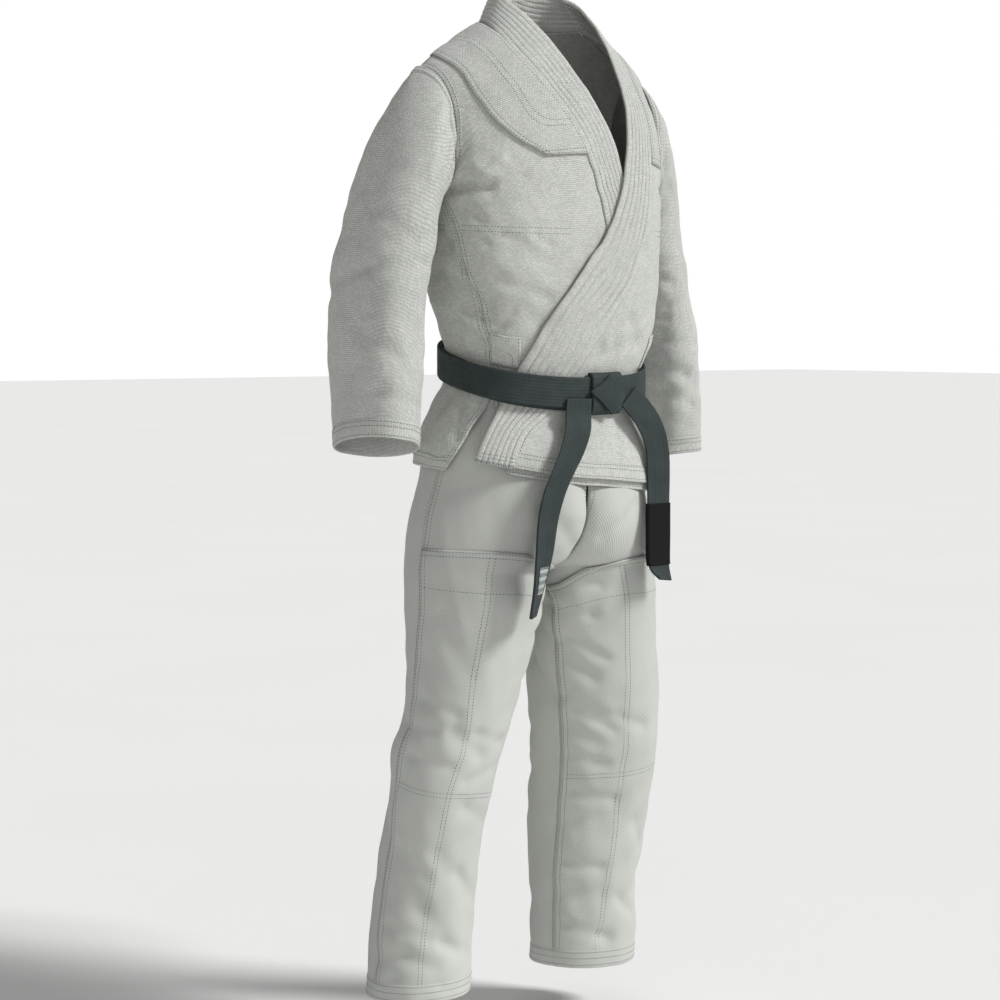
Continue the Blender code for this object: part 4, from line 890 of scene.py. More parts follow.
def beltTail(side, material):
    def place(share, step):
        middle, width = strapFrame(side, step)
        return middle + width * ((share - 0.5) * beltWidth)[..., None]
    name = "belt_tail_" + ("left" if side > 0 else "right")
    return Cloth(name, place, np.linspace(0, 1, 3), np.linspace(0, 9, 28), beltThick, material)


def strapCover(name, side, first, last, inner, thick, material):
    # A flat sleeve round a belt end, as wide and deep as inner says from the strap's middle.
    corners = np.array([(-1, -1), (0, -1), (1, -1), (1, 0), (1, 1), (0, 1), (-1, 1), (-1, 0), (-1, -1)], float)
    reach = np.array((beltWidth / 2, beltThick / 2)) + inner + thick / 2

    def place(corner, step):
        i = np.clip(np.floor(corner).astype(int), 0, 7)
        part = (corner - i)[..., None]
        at = (corners[i] * (1 - part) + corners[i + 1] * part) * reach
        middle, width = strapFrame(side, step)
        ahead, behind = strapFrame(side, step + 0.05)[0], strapFrame(side, step - 0.05)[0]
        out = unit(np.cross(width, ahead - behind))
        return middle + width * at[..., :1] + out * at[..., 1:]
    return Cloth(name, place, np.arange(9), np.linspace(first, last, 5), thick, material, ring=True)


def tagLabel(material):
    # A small plain woven tag on the face of the right end.
    def place(share, step):
        middle, width = strapFrame(-1, step)
        ahead, behind = strapFrame(-1, step + 0.05)[0], strapFrame(-1, step - 0.05)[0]
        out = unit(np.cross(width, ahead - behind))
        flip = np.where(out[..., 1:2] > 0, -1.0, 1.0)
        return middle + width * ((share - 0.5) * 0.026)[..., None] + out * flip * (beltThick / 2 + seamGap + 0.0004)
    return Cloth("belt_tag", place, np.linspace(0, 1, 3), np.linspace(7.3, 8.2, 4), 0.0008, material)


def coarsePieces():
    # The walls in the order in which each one clears what lies under it, as in the solids.
    back, right = backPanel(0.822, None), frontPanel(-1, 0.835, None)
    lapels = collar(None).clear([right, back])
    left = frontPanel(1, 0.845, None).clear([right])
    lapels.clear([lapels], first=lapels.lift.shape[1] // 2)
    shell = [back, right, left]
    shoulders = yoke(None).clear(shell)
    patches = [ventPatch(side, None).clear([left, right]) for side in (-1, 1)]
    sleeves = [sleeve(side, None).clear([back, right, left, shoulders]) for side in (-1, 1)]
    lining = shell + [lapels]
    under = beltTurn("belt_wrap_under", 0, 0.004, None).clear(lining + patches)
    over = beltTurn("belt_wrap_over", 1, 0.0, None).clear([under])
    wrap = knotWrap(None).clear([under, over])
    flap = knotFlap(None).clear([over, wrap])
    tails = [beltTail(side, None).clear([over, wrap, flap] + shell) for side in (-1, 1)]
    bar = strapCover("rank_bar", 1, 6.0, 8.0, seamGap, 0.0012, None).clear([tails[1]])
    label = tagLabel(None).clear([tails[0]])
    legs = [trouserPanel(side, front, None).clear(lining, -1) for side in (-1, 1) for front in (True, False)]
    knees = [kneePatch(side, None).clear(legs) for side in (-1, 1)]
    band = waistband(None).clear(lining, -1)
    made = shell + [lapels, shoulders, under, over, wrap, flap, bar, label, band]
    return {piece.name: piece for piece in made + patches + sleeves + tails + legs + knees}


# Fine cloth: each piece again on a close grid, with its wall from a Solidify modifier.

def ripple(points, size, seed, count=7):
    # Soft unevenness of hanging cloth, about -1 to 1, from a few waves in fixed directions.
    draw = np.random.RandomState(seed)
    height = np.zeros(points.shape[:-1])
    for _ in range(count):
        way = unit(draw.normal(size=3)) * draw.uniform(0.6, 1.5) * 2 * math.pi / size
        height += np.sin(points @ way + draw.uniform(0, 2 * math.pi))
    return height / math.sqrt(count)


def spaced(start, stop, step, marks=()):
    # Even steps, with a close pair of rows at each mark, where a folded edge ends.
    rows = list(np.linspace(start, stop, max(2, int(round(abs(stop - start) / step)) + 1)))
    for mark, gap in marks:
        rows = [r for r in rows if abs(r - mark) > 1.2 * gap or r in (start, stop)] + [mark - gap, mark + gap]
    return np.array(sorted(rows, reverse=stop < start))


def spread(field, piece, s, t):
    # A field on the coarse grid, read between its places.
    across, along = np.asarray(piece.across, float), np.asarray(piece.along, float)
    flip = 1 if across[-1] > across[0] else -1
    i = np.interp(flip * s, flip * across, np.arange(len(across)))
    flip = 1 if along[-1] > along[0] else -1
    j = np.interp(flip * t, flip * along, np.arange(len(along)))
    i0, j0 = np.minimum(i.astype(int), len(across) - 2), np.minimum(j.astype(int), len(along) - 2)
    di, dj = (i - i0)[..., None], (j - j0)[..., None]
    low = field[i0, j0] * (1 - di) + field[i0 + 1, j0] * di
    high = field[i0, j0 + 1] * (1 - di) + field[i0 + 1, j0 + 1] * di
    return low * (1 - dj) + high * dj


def gridNormals(points, ring):
    if ring:
        ds = np.roll(points[:-1], -1, 0) - np.roll(points[:-1], 1, 0)
        ds = np.concatenate([ds, ds[:1]])
    else:
        ds = np.gradient(points, axis=0)
    return unit(np.cross(ds, np.gradient(points, axis=1)) + 1e-12)


def arc(points, axis):
    steps = np.linalg.norm(np.diff(points, axis=axis), axis=-1)
    zero = np.zeros_like(np.take(steps, [0], axis=axis))
    return np.concatenate([zero, np.cumsum(steps, axis=axis)], axis=axis)


def gridMesh(name, points, material, outward=None, ring=False, uv=None):
    # One sheet of quads: its grid comes from bmesh, its places from the points.
    columns, rows = points.shape[0] - 1, points.shape[1] - 1
    bm = bmesh.new()
    bmesh.ops.create_grid(bm, x_segments=columns, y_segments=rows, size=0.5)
    layer = bm.loops.layers.uv.new("cloth")
    spots = [(round((v.co.x + 0.5) * columns), round((v.co.y + 0.5) * rows)) for v in bm.verts]
    u = arc(points, 0) if uv is None else uv[0]
    v = arc(points, 1) if uv is None else uv[1]
    flat = np.stack([u - u[-1:] / 2, v], -1)
    for face in bm.faces:
        for loop in face.loops:
            loop[layer].uv = flat[spots[loop.vert.index]]
    for vert, spot in zip(bm.verts, spots):
        vert.co = points[spot]
    if ring:
        last = {spots[v.index][1]: v for v in bm.verts if spots[v.index][0] == columns}
        ends = {last[spots[v.index][1]]: v for v in bm.verts if spots[v.index][0] == 0}
        bmesh.ops.weld_verts(bm, targetmap=ends)
    bm.normal_update()
    if outward is not None:
        bm.faces.ensure_lookup_table()
        middle = bm.faces[len(bm.faces) // 2]
        near = outward[columns // 2, rows // 2]
        total = sum(f.normal.dot(Vector(near)) for f in [middle])
        if total < 0:
            bmesh.ops.reverse_faces(bm, faces=bm.faces)
    mesh = bpy.data.meshes.new(name)
    bm.to_mesh(mesh)
    bm.free()
    mesh.shade_smooth()
    mesh.materials.append(material)
    piece = bpy.data.objects.new(name, mesh)
    scene.collection.objects.link(piece)
    return piece


def wall(piece, thick):
    solid = piece.modifiers.new("wall", "SOLIDIFY")
    solid.thickness = thick
    solid.offset = 0.0
    solid.use_even_offset = False
    solid.use_quality_normals = True


class Panel:
    # A fine sheet of one cut piece, with its points, its outward normals and its material.
    def __init__(self, coarse, across, along, material, relief, node=None, thick=None):
        self.name = coarse.name
        self.thick = thick or coarse.thick
        self.ring = coarse.ring
        self.s, self.t = np.meshgrid(across, along, indexing="ij")
        middle = coarse.place(self.s, self.t)
        if coarse.side:
            normal = gridNormals(middle, coarse.ring)
            reach = seamGap / 2 + (coarse.thick / 2 + coarse.room) * np.abs(normal[..., 0])
            middle[..., 0] = coarse.side * np.maximum(coarse.side * middle[..., 0], reach)
        push = np.broadcast_to(coarse.push, coarse.normal.shape)
        middle = middle + spread(push * coarse.lift[..., None], coarse, self.s, self.t)
        self.out = gridNormals(middle, coarse.ring)
        if (self.out * spread(coarse.normal, coarse, self.s, self.t)).sum() < 0:
            self.out = -self.out
        self.sideways = arc(middle, 0)
        self.lengthways = arc(middle, 1)
        height = relief(self, middle)
        self.points = middle + self.out * height[..., None] - hold
        self.out = self.out if coarse.ring else self.out
        self.normals = gridNormals(self.points, coarse.ring)
        self.normals *= np.sign((self.normals * self.out).sum(-1, keepdims=True)) + 1e-9
        if self.ring:
            self.points[-1] = self.points[0]
        self.object = gridMesh("cloth_" + self.name, self.points, material, self.normals, self.ring)
        wall(self.object, self.thick)
        self.area = float((np.linalg.norm(np.cross(np.diff(self.points, axis=0)[:, 1:], np.diff(self.points, axis=1)[1:]),
                                          axis=-1)).sum())
        self.extras = []
        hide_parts(self.name)

    def rowAt(self, edge, distance, lift=0.0):
        # The line at a distance from one edge: start and end are the sides, low and high the ends.
        axis = 0 if edge in ("start", "end") else 1
        points, normals = self.points, self.normals
        if edge in ("end", "high"):
            points, normals = np.flip(points, axis), np.flip(normals, axis)
        if axis == 0:
            points, normals = points.swapaxes(0, 1), normals.swapaxes(0, 1)
        run = arc(points, 1)
        line, facingOut = [], []
        for row in range(points.shape[0]):
            at = [np.interp(distance, run[row], points[row, :, k]) for k in range(3)]
            up = [np.interp(distance, run[row], normals[row, :, k]) for k in range(3)]
            line.append(at)
            facingOut.append(up)
        up = unit(np.array(facingOut))
        return np.array(line) + up * (self.thick / 2 + lift), up

    def lineAt(self, share, lift=0.0, lengthways=True):
        # The grid line at a share of the width (or of the length).
        axis = 0 if lengthways else 1
        place = share * (self.points.shape[axis] - 1)
        low = int(min(place, self.points.shape[axis] - 2))
        part = place - low
        a, b = np.take(self.points, low, axis), np.take(self.points, low + 1, axis)
        up = unit(np.take(self.normals, low, axis) + 1e-9)
        return a * (1 - part) + b * part + up * (self.thick / 2 + lift), up


# Sewing: stitches are joined copies of one small spindle, laid along lines on the cloth.

stitchSize = {"long": 0.0038, "wide": 0.0013, "high": 0.0009, "pitch": 0.0047}


def spindle():
    bm = bmesh.new()
    bmesh.ops.create_uvsphere(bm, u_segments=4, v_segments=2, radius=0.5)
    bmesh.ops.rotate(bm, verts=bm.verts, matrix=Matrix.Rotation(math.pi / 2, 3, "Y"))
    bm.verts.index_update()
    points = np.array([v.co[:] for v in bm.verts])
    faces = [[v.index for v in f.verts] for f in bm.faces]
    bm.free()
    return points, faces


def resample(line, ups, pitch):
    run = arc(line[None], 1)[0]
    count = max(int(run[-1] / pitch), 1)
    at = (np.arange(count) + 0.5) * run[-1] / count
    place = np.stack([np.interp(at, run, line[:, k]) for k in range(3)], -1)
    ahead = np.stack([np.interp(at + 0.001, run, line[:, k]) for k in range(3)], -1)
    behind = np.stack([np.interp(at - 0.001, run, line[:, k]) for k in range(3)], -1)
    up = unit(np.stack([np.interp(at, run, ups[:, k]) for k in range(3)], -1))
    return place, unit(ahead - behind + 1e-9), up


class Sewing:
    def __init__(self, owner, material):
        self.owner, self.material = owner, material
        self.frames = []

    def row(self, line, ups, pitch=None, size=1.0, turn=0.0):
        place, way, up = resample(line, ups, pitch or stitchSize["pitch"])
        side = unit(np.cross(up, way))
        if turn:
            way, side = (way * math.cos(turn) + side * math.sin(turn),
                         side * math.cos(turn) - way * math.sin(turn))
        self.frames.append((place, way * stitchSize["long"] * size, side * stitchSize["wide"],
                            up * stitchSize["high"]))

    def edge(self, edge, distances, lift=0.0, **options):
        for distance in distances:
            self.row(*self.owner.rowAt(edge, distance, lift), **options)

    def make(self):
        if not self.frames:
            return None
        place, way, side, up = (np.concatenate([f[k] for f in self.frames]) for k in range(4))
        points, faces = spindle()
        spots = (place[:, None] + way[:, None] * points[None, :, :1] + side[:, None] * points[None, :, 1:2]
                 + up[:, None] * points[None, :, 2:]).reshape(-1, 3)
        many = (np.arange(len(place)) * len(points))[:, None, None] + np.array(faces)[None]
        mesh = bpy.data.meshes.new("sewing_" + self.owner.name)
        mesh.from_pydata(spots.tolist(), [], many.reshape(-1, len(faces[0])).tolist())
        mesh.shade_smooth()
        mesh.materials.append(self.material)
        piece = bpy.data.objects.new(mesh.name, mesh)
        scene.collection.objects.link(piece)
        self.owner.extras.append(piece)
        return piece


def strip(owner, name, edge, near, far, high, material):
    # A second layer of cloth along an edge, such as a hem or a felled seam, rounded at its sides.
    gap = min(0.0012, (far - near) / 4)
    steps = [(near, 0.0), (near + gap * 0.3, 0.7), (near + gap, 1.0)]
    steps += [(d, 1.0) for d in np.linspace(near + gap, far - gap, 6)[1:-1]]
    steps += [(far - gap, 1.0), (far - gap * 0.3, 0.7), (far, 0.0)]
    lines = [owner.rowAt(edge, distance, high * share - 0.0001) for distance, share in steps]
    points = np.stack([line for line, up in lines])
    up = np.stack([up for line, up in lines])
    piece = gridMesh(name, points, material, up)
    owner.extras.append(piece)
    return piece


def topTree(panels):
    verts, faces = [], []
    for panel in panels:
        base = len(verts)
        outer = panel.points + panel.normals * panel.thick / 2
        m, n = outer.shape[:2]
        verts += [Vector(p) for p in outer.reshape(-1, 3)]
        for i in range(m - 1):
            for j in range(n - 1):
                a = base + i * n + j
                faces.append((a, a + 1, a + n + 1, a + n))
    return BVHTree.FromPolygons(verts, faces)


def seat(tree, place, ups, lift=0.0):
    # Places brought down onto the cloth that shows there.
    line, up = [], []
    for p, n in zip(place, ups):
        start = Vector(p) + Vector(n) * 0.012
        hit = tree.ray_cast(start, -Vector(n), 0.03)
        if hit[0] is None:
            hit = tree.find_nearest(Vector(p))
        facingOut = hit[1] if hit[1].dot(Vector(n)) > 0 else -hit[1]
        line.append(np.array(hit[0] + facingOut * lift))
        up.append(np.array(facingOut))
    return np.array(line), unit(np.array(up))


def drawn(spots, surface, tree, step=0.006, lift=0.0, turned=1):
    # A line through spots of a surface, smooth between them and seated on its cloth.
    Spot = namedtuple("Spot", "step a b")
    table = [Spot(k, *spot) for k, spot in enumerate(spots)]
    close = np.linspace(0, len(spots) - 1, 40 * (len(spots) - 1) + 1)
    row = smooth(table, close)
    line = surface(row.a, row.b)
    normal = facing(surface, row.a, row.b, 0.5, 0.002) * turned
    count = max(int(arc(line[None], 1)[0][-1] / step), 3)
    pick = np.linspace(0, len(line) - 1, count).astype(int)
    return seat(tree, (line - hold)[pick], normal[pick], lift)


# Finishes

def linear(hexColour):
    parts = [int(hexColour[k:k + 2], 16) / 255 for k in (1, 3, 5)]
    return tuple(p / 12.92 if p <= 0.04045 else ((p + 0.055) / 1.055) ** 2.4 for p in parts) + (1.0,)


def add(tree, kind, settings=None, values=None, links=None):
    # One node, with its settings, the values of its sockets and what is linked into them.
    made = tree.nodes.new(kind)
    for key, value in (settings or {}).items():
        setattr(made, key, value)
    for key, value in (values or {}).items():
        made.inputs[key].default_value = value
    for key, source in (links or {}).items():
        tree.links.new(source, made.inputs[key])
    return made


def startMaterial(name, roughness, sheen=0.0, tint="#FFFFFF"):
    material = bpy.data.materials.new(name)
    material.use_nodes = True
    shader = material.node_tree.nodes["Principled BSDF"]
    shader.inputs["Roughness"].default_value = roughness
    shader.inputs["Specular IOR Level"].default_value = 0.25
    shader.inputs["Sheen Weight"].default_value = sheen
    shader.inputs["Sheen Roughness"].default_value = 0.5
    shader.inputs["Sheen Tint"].default_value = linear(tint)
    return material, material.node_tree, shader


# Each weave: the thread's rise and its tones, with the size of one repeat in metres.
weaves = {
    "pearl": {"wide": 0.0042, "tall": 0.0027, "deep": 0.0009, "light": "#D8D9D4", "dark": "#C4C6C0",
              "gap": "#B2B5AF"},
    "twill": {"rib": 0.0024, "deep": 0.0006, "light": "#C6C7C2", "dark": "#B3B6B0"},
    "belt": {"rib": 0.0024, "deep": 0.0006, "light": "#3D4645", "dark": "#262D2E"},
}


def mottled(tree, colour, amount, size, place):
    # Uneven shade of washed cotton: broad soft patches over the thread's own tone.
    noise = add(tree, "ShaderNodeTexNoise", None, {"Scale": 1 / size, "Detail": 3.0}, {"Vector": place})
    spread = add(tree, "ShaderNodeMapRange", None, {"To Min": 1.0 - amount, "To Max": 1.0 + amount},
                 {"Value": noise.outputs["Fac"]})
    return add(tree, "ShaderNodeMix", {"data_type": "RGBA", "blend_type": "MULTIPLY"}, {"Factor": 1.0},
               {6: colour, 7: spread.outputs["Result"]}).outputs[2]


def pearlCotton():
    # Pearl weave cotton: bleached yarn in staggered grains, matt, a little grey from washing.
    # The real grain is about 2 mm and is drawn twice as coarse, so that it shows.
    material, tree, shader = startMaterial("pearl weave cotton", 0.92, 0.15)
    weave = weaves["pearl"]
    coords = add(tree, "ShaderNodeTexCoord")
    grains = add(tree, "ShaderNodeTexBrick", {"offset": 0.5},
                 {"Color1": linear(weave["light"]), "Color2": linear(weave["dark"]), "Mortar": linear(weave["gap"]),
                  "Scale": 1.0, "Mortar Size": 0.0005, "Mortar Smooth": 1.0, "Bias": 0.0,
                  "Brick Width": weave["wide"], "Row Height": weave["tall"]},
                 {"Vector": coords.outputs["UV"]})
    shade = mottled(tree, grains.outputs["Color"], 0.10, 0.14, coords.outputs["Object"])
    tree.links.new(shade, shader.inputs["Base Color"])
    slub = add(tree, "ShaderNodeTexNoise", None, {"Scale": 420.0, "Detail": 2.0}, {"Vector": coords.outputs["UV"]})
    height = add(tree, "ShaderNodeMath", {"operation": "MULTIPLY_ADD"}, {1: -1.0},
                 {0: grains.outputs["Fac"], 2: slub.outputs["Fac"]})
    bump = add(tree, "ShaderNodeBump", None, {"Strength": 0.8, "Distance": weave["deep"]},
               {"Height": height.outputs["Value"]})
    tree.links.new(bump.outputs["Normal"], shader.inputs["Normal"])
    return material


def cottonTwill():
    # Cotton twill: fine diagonal ribs, smoother and flatter than the jacket's weave.
    # The real rib is under 1 mm and is drawn three times as coarse, so that it shows.
    material, tree, shader = startMaterial("cotton twill", 0.88, 0.12)
    weave = weaves["twill"]
    coords = add(tree, "ShaderNodeTexCoord")
    turned = add(tree, "ShaderNodeMapping", None, {"Rotation": (0.0, 0.0, math.radians(28.0))},
                 {"Vector": coords.outputs["UV"]})
    ribs = add(tree, "ShaderNodeTexWave", {"wave_type": "BANDS", "bands_direction": "X"},
               {"Scale": 2 * math.pi / 20 / weave["rib"], "Distortion": 0.6, "Detail": 1.0, "Detail Scale": 0.4},
               {"Vector": turned.outputs["Vector"]})
    tone = add(tree, "ShaderNodeMix", {"data_type": "RGBA"}, {6: linear(weave["dark"]), 7: linear(weave["light"])},
               {"Factor": ribs.outputs["Fac"]})
    shade = mottled(tree, tone.outputs[2], 0.09, 0.16, coords.outputs["Object"])
    tree.links.new(shade, shader.inputs["Base Color"])
    bump = add(tree, "ShaderNodeBump", None, {"Strength": 0.6, "Distance": weave["deep"]},
               {"Height": ribs.outputs["Fac"]})
    tree.links.new(bump.outputs["Normal"], shader.inputs["Normal"])
    return material


def beltCotton():
    # Dyed cotton belt: a dense, slightly shiny weave over a core, faded along its ribs.
    material, tree, shader = startMaterial("dyed belt cotton", 0.78, 0.08, "#9AA6AA")
    weave = weaves["belt"]
    coords = add(tree, "ShaderNodeTexCoord")
    ribs = add(tree, "ShaderNodeTexWave", {"wave_type": "BANDS", "bands_direction": "X"},
               {"Scale": 2 * math.pi / 20 / weave["rib"], "Distortion": 0.4, "Detail": 1.0, "Detail Scale": 0.3},
               {"Vector": coords.outputs["UV"]})
    worn = add(tree, "ShaderNodeTexNoise", None, {"Scale": 34.0, "Detail": 3.0}, {"Vector": coords.outputs["Object"]})
    tone = add(tree, "ShaderNodeMix", {"data_type": "RGBA"}, {6: linear(weave["dark"]), 7: linear(weave["light"])},
               {"Factor": worn.outputs["Fac"]})
    tree.links.new(tone.outputs[2], shader.inputs["Base Color"])
    bump = add(tree, "ShaderNodeBump", None, {"Strength": 0.5, "Distance": weave["deep"]},
               {"Height": ribs.outputs["Fac"]})
    tree.links.new(bump.outputs["Normal"], shader.inputs["Normal"])
    return material


def blackCotton():
    # Plain black cotton sleeve of the belt: matt poplin, near black with a faint thread.
    material, tree, shader = startMaterial("black cotton poplin", 0.85)
    coords = add(tree, "ShaderNodeTexCoord")
    thread = add(tree, "ShaderNodeTexWave", None, {"Scale": 180.0, "Distortion": 0.3}, {"Vector": coords.outputs["UV"]})
    tone = add(tree, "ShaderNodeMix", {"data_type": "RGBA"}, {6: linear("#050606"), 7: linear("#0D0E0E")},
               {"Factor": thread.outputs["Fac"]})
    tree.links.new(tone.outputs[2], shader.inputs["Base Color"])
    bump = add(tree, "ShaderNodeBump", None, {"Strength": 0.4, "Distance": 0.0003}, {"Height": thread.outputs["Fac"]})
    tree.links.new(bump.outputs["Normal"], shader.inputs["Normal"])
    return material


def wovenTag():
    # Plain woven tag: satin yarn in muted stripes across its length.
    material, tree, shader = startMaterial("woven satin tag", 0.6, 0.1)
    coords = add(tree, "ShaderNodeTexCoord")
    stripes = add(tree, "ShaderNodeTexWave", {"wave_type": "BANDS", "bands_direction": "Y"},
                  {"Scale": 2 * math.pi / 20 / 0.011}, {"Vector": coords.outputs["UV"]})
    tone = add(tree, "ShaderNodeValToRGB", None, None, {"Fac": stripes.outputs["Fac"]})
    tone.color_ramp.interpolation = "CONSTANT"
    tone.color_ramp.elements[0].color = linear("#6F7A78")
    tone.color_ramp.elements[1].color = linear("#A9ABA6")
    tone.color_ramp.elements[1].position = 0.55
    tree.links.new(tone.outputs["Color"], shader.inputs["Base Color"])
    thread = add(tree, "ShaderNodeTexWave", None, {"Scale": 260.0}, {"Vector": coords.outputs["UV"]})
    bump = add(tree, "ShaderNodeBump", None, {"Strength": 0.4, "Distance": 0.0002}, {"Height": thread.outputs["Fac"]})
    tree.links.new(bump.outputs["Normal"], shader.inputs["Normal"])
    return material


def sewingThread(name, light, dark):
    # Twisted polyester-cotton thread: a little shine on each stitch, uneven in tone.
    material, tree, shader = startMaterial(name, 0.6, 0.1)
    coords = add(tree, "ShaderNodeTexCoord")
    noise = add(tree, "ShaderNodeTexNoise", None, {"Scale": 300.0}, {"Vector": coords.outputs["Object"]})
    tone = add(tree, "ShaderNodeMix", {"data_type": "RGBA"}, {6: linear(dark), 7: linear(light)},
               {"Factor": noise.outputs["Fac"]})
    tree.links.new(tone.outputs[2], shader.inputs["Base Color"])
    return material


# Relief of the fine cloth over the form it shares with the solids

cloth = {"broad": 0.0010, "broadSize": 0.11, "small": 0.0005, "smallSize": 0.042, "beltPucker": 0.0018,
         "crease": 1.4}


def uneven(points, seed, amount=1.0):
    return amount * (cloth["broad"] * ripple(points, cloth["broadSize"], seed)
                     + cloth["small"] * ripple(points, cloth["smallSize"], seed + 1))


bodyCreases = [      # sharper than the folds of the form: armpits, waist, chest, back, skirt
    Fold(-84, 1.250, -66, 1.285, 0.007, -0.0045),
    Fold(-80, 1.238, -58, 1.246, 0.006, -0.0050),
    Fold(-60, 1.247, -44, 1.268, 0.008, 0.0040),
    Fold(-70, 1.215, -58, 1.197, 0.007, -0.0025),
    Fold(-86, 1.160, -74, 1.130, 0.008, -0.0045),
    Fold(-84, 1.110, -58, 1.090, 0.008, -0.0050),
    Fold(-78, 1.082, -52, 1.062, 0.007, -0.0035),
    Fold(-60, 1.048, -44, 1.078, 0.006, -0.0022),
    Fold(-40, 1.160, -18, 1.140, 0.012, -0.0018),
    Fold(-52, 1.120, -22, 1.098, 0.010, -0.0020),
    Fold(-34, 1.215, -20, 1.235, 0.009, -0.0015),
    Fold(-46, 1.178, -34, 1.168, 0.005, -0.0018),
    Fold(-28, 1.178, -20, 1.166, 0.005, -0.0016),
    Fold(-62, 1.178, -55, 1.164, 0.005, -0.0018),
    Fold(20, 1.068, 48, 1.090, 0.008, -0.0035),
    Fold(28, 1.040, 60, 1.052, 0.008, -0.0040),
    Fold(40, 1.120, 66, 1.150, 0.010, -0.0030),
    Fold(48, 1.200, 64, 1.232, 0.008, -0.0035),
    Fold(56, 1.236, 80, 1.248, 0.007, -0.0045),
    Fold(84, 1.150, 74, 1.110, 0.009, -0.0040),
    Fold(112, 1.215, 140, 1.170, 0.010, -0.0035),
    Fold(246, 1.220, 222, 1.176, 0.010, -0.0035),
    Fold(120, 1.060, 168, 1.035, 0.009, -0.0040),
    Fold(190, 1.046, 236, 1.066, 0.009, -0.0040),
    Fold(150, 1.100, 200, 1.088, 0.012, -0.0025),
    Fold(-15, 0.930, -10, 0.880, 0.008, -0.0025),
    Fold(16, 0.940, 12, 0.880, 0.010, -0.0028),
    Fold(36, 0.945, 34, 0.870, 0.010, -0.0030),
    Fold(-84, 0.935, -78, 0.880, 0.009, -0.0035),
    Fold(170, 0.950, 172, 0.870, 0.010, -0.0030),
]
sleeveCreases = {    # at the shoulder, the elbow and the forearm
    -1: [
        Fold(70, 0.06, 96, 0.17, 0.007, -0.0050),
        Fold(104, 0.09, 122, 0.20, 0.007, -0.0045),
        Fold(60, 0.13, 84, 0.24, 0.009, 0.0030),
        Fold(20, 0.36, 82, 0.42, 0.011, -0.0030),
        Fold(30, 0.52, 98, 0.49, 0.010, -0.0028),
        Fold(10, 0.66, 74, 0.74, 0.013, -0.0032),
        Fold(44, 0.84, 110, 0.88, 0.012, -0.0026),
        Fold(330, 0.56, 20, 0.52, 0.012, -0.0030),
        Fold(220, 0.30, 300, 0.36, 0.012, -0.0035),
        Fold(240, 0.62, 310, 0.58, 0.012, -0.0035),
    ],
    1: [
        Fold(74, 0.08, 92, 0.18, 0.007, -0.0045),
        Fold(100, 0.12, 118, 0.22, 0.007, -0.0040),
        Fold(70, 0.40, 120, 0.46, 0.010, -0.0032),
        Fold(60, 0.56, 118, 0.60, 0.010, -0.0034),
        Fold(66, 0.70, 130, 0.68, 0.009, -0.0036),
        Fold(90, 0.86, 140, 0.82, 0.010, -0.0028),
        Fold(220, 0.34, 300, 0.38, 0.012, -0.0035),
        Fold(230, 0.60, 300, 0.64, 0.012, -0.0035),
    ],
}
legCreases = {       # from the crotch, behind and below the knee, and over the hem
    -1: [
        Fold(172, 0.700, 118, 0.690, 0.010, -0.0040),
        Fold(170, 0.672, 128, 0.640, 0.009, -0.0038),
        Fold(100, 0.800, 140, 0.760, 0.012, -0.0030),
        Fold(30, 0.640, 62, 0.560, 0.016, -0.0026),
        Fold(20, 0.520, 60, 0.500, 0.010, -0.0030),
        Fold(88, 0.470, 128, 0.452, 0.010, -0.0034),
        Fold(20, 0.438, 66, 0.424, 0.010, -0.0030),
        Fold(96, 0.360, 140, 0.330, 0.011, -0.0030),
        Fold(24, 0.300, 58, 0.262, 0.012, -0.0032),
        Fold(100, 0.262, 142, 0.214, 0.011, -0.0028),
        Fold(20, 0.186, 70, 0.168, 0.011, -0.0034),
        Fold(84, 0.160, 136, 0.130, 0.010, -0.0036),
        Fold(30, 0.110, 84, 0.100, 0.009, -0.0028),
        Fold(228, 0.415, 306, 0.420, 0.012, -0.0040),
        Fold(236, 0.330, 300, 0.300, 0.013, -0.0032),
        Fold(214, 0.720, 262, 0.760, 0.014, -0.0036),
        Fold(280, 0.600, 330, 0.560, 0.014, -0.0030),
    ],
    1: [
        Fold(174, 0.698, 120, 0.672, 0.010, -0.0040),
        Fold(170, 0.640, 128, 0.628, 0.009, -0.0036),
        Fold(96, 0.800, 136, 0.770, 0.012, -0.0030),
        Fold(150, 0.596, 118, 0.560, 0.009, -0.0036),
        Fold(150, 0.480, 116, 0.448, 0.009, -0.0034),
        Fold(152, 0.410, 122, 0.396, 0.009, -0.0030),
        Fold(84, 0.452, 112, 0.470, 0.010, -0.0026),
        Fold(150, 0.352, 112, 0.340, 0.010, -0.0030),
        Fold(82, 0.300, 60, 0.260, 0.012, -0.0026),
        Fold(154, 0.240, 116, 0.232, 0.010, -0.0032),
        Fold(90, 0.180, 62, 0.150, 0.011, -0.0032),
        Fold(150, 0.142, 100, 0.120, 0.010, -0.0034),
        Fold(224, 0.410, 300, 0.418, 0.012, -0.0040),
        Fold(232, 0.320, 300, 0.300, 0.013, -0.0032),
        Fold(216, 0.716, 262, 0.750, 0.014, -0.0036),
        Fold(280, 0.600, 330, 0.570, 0.014, -0.0030),
    ],
}


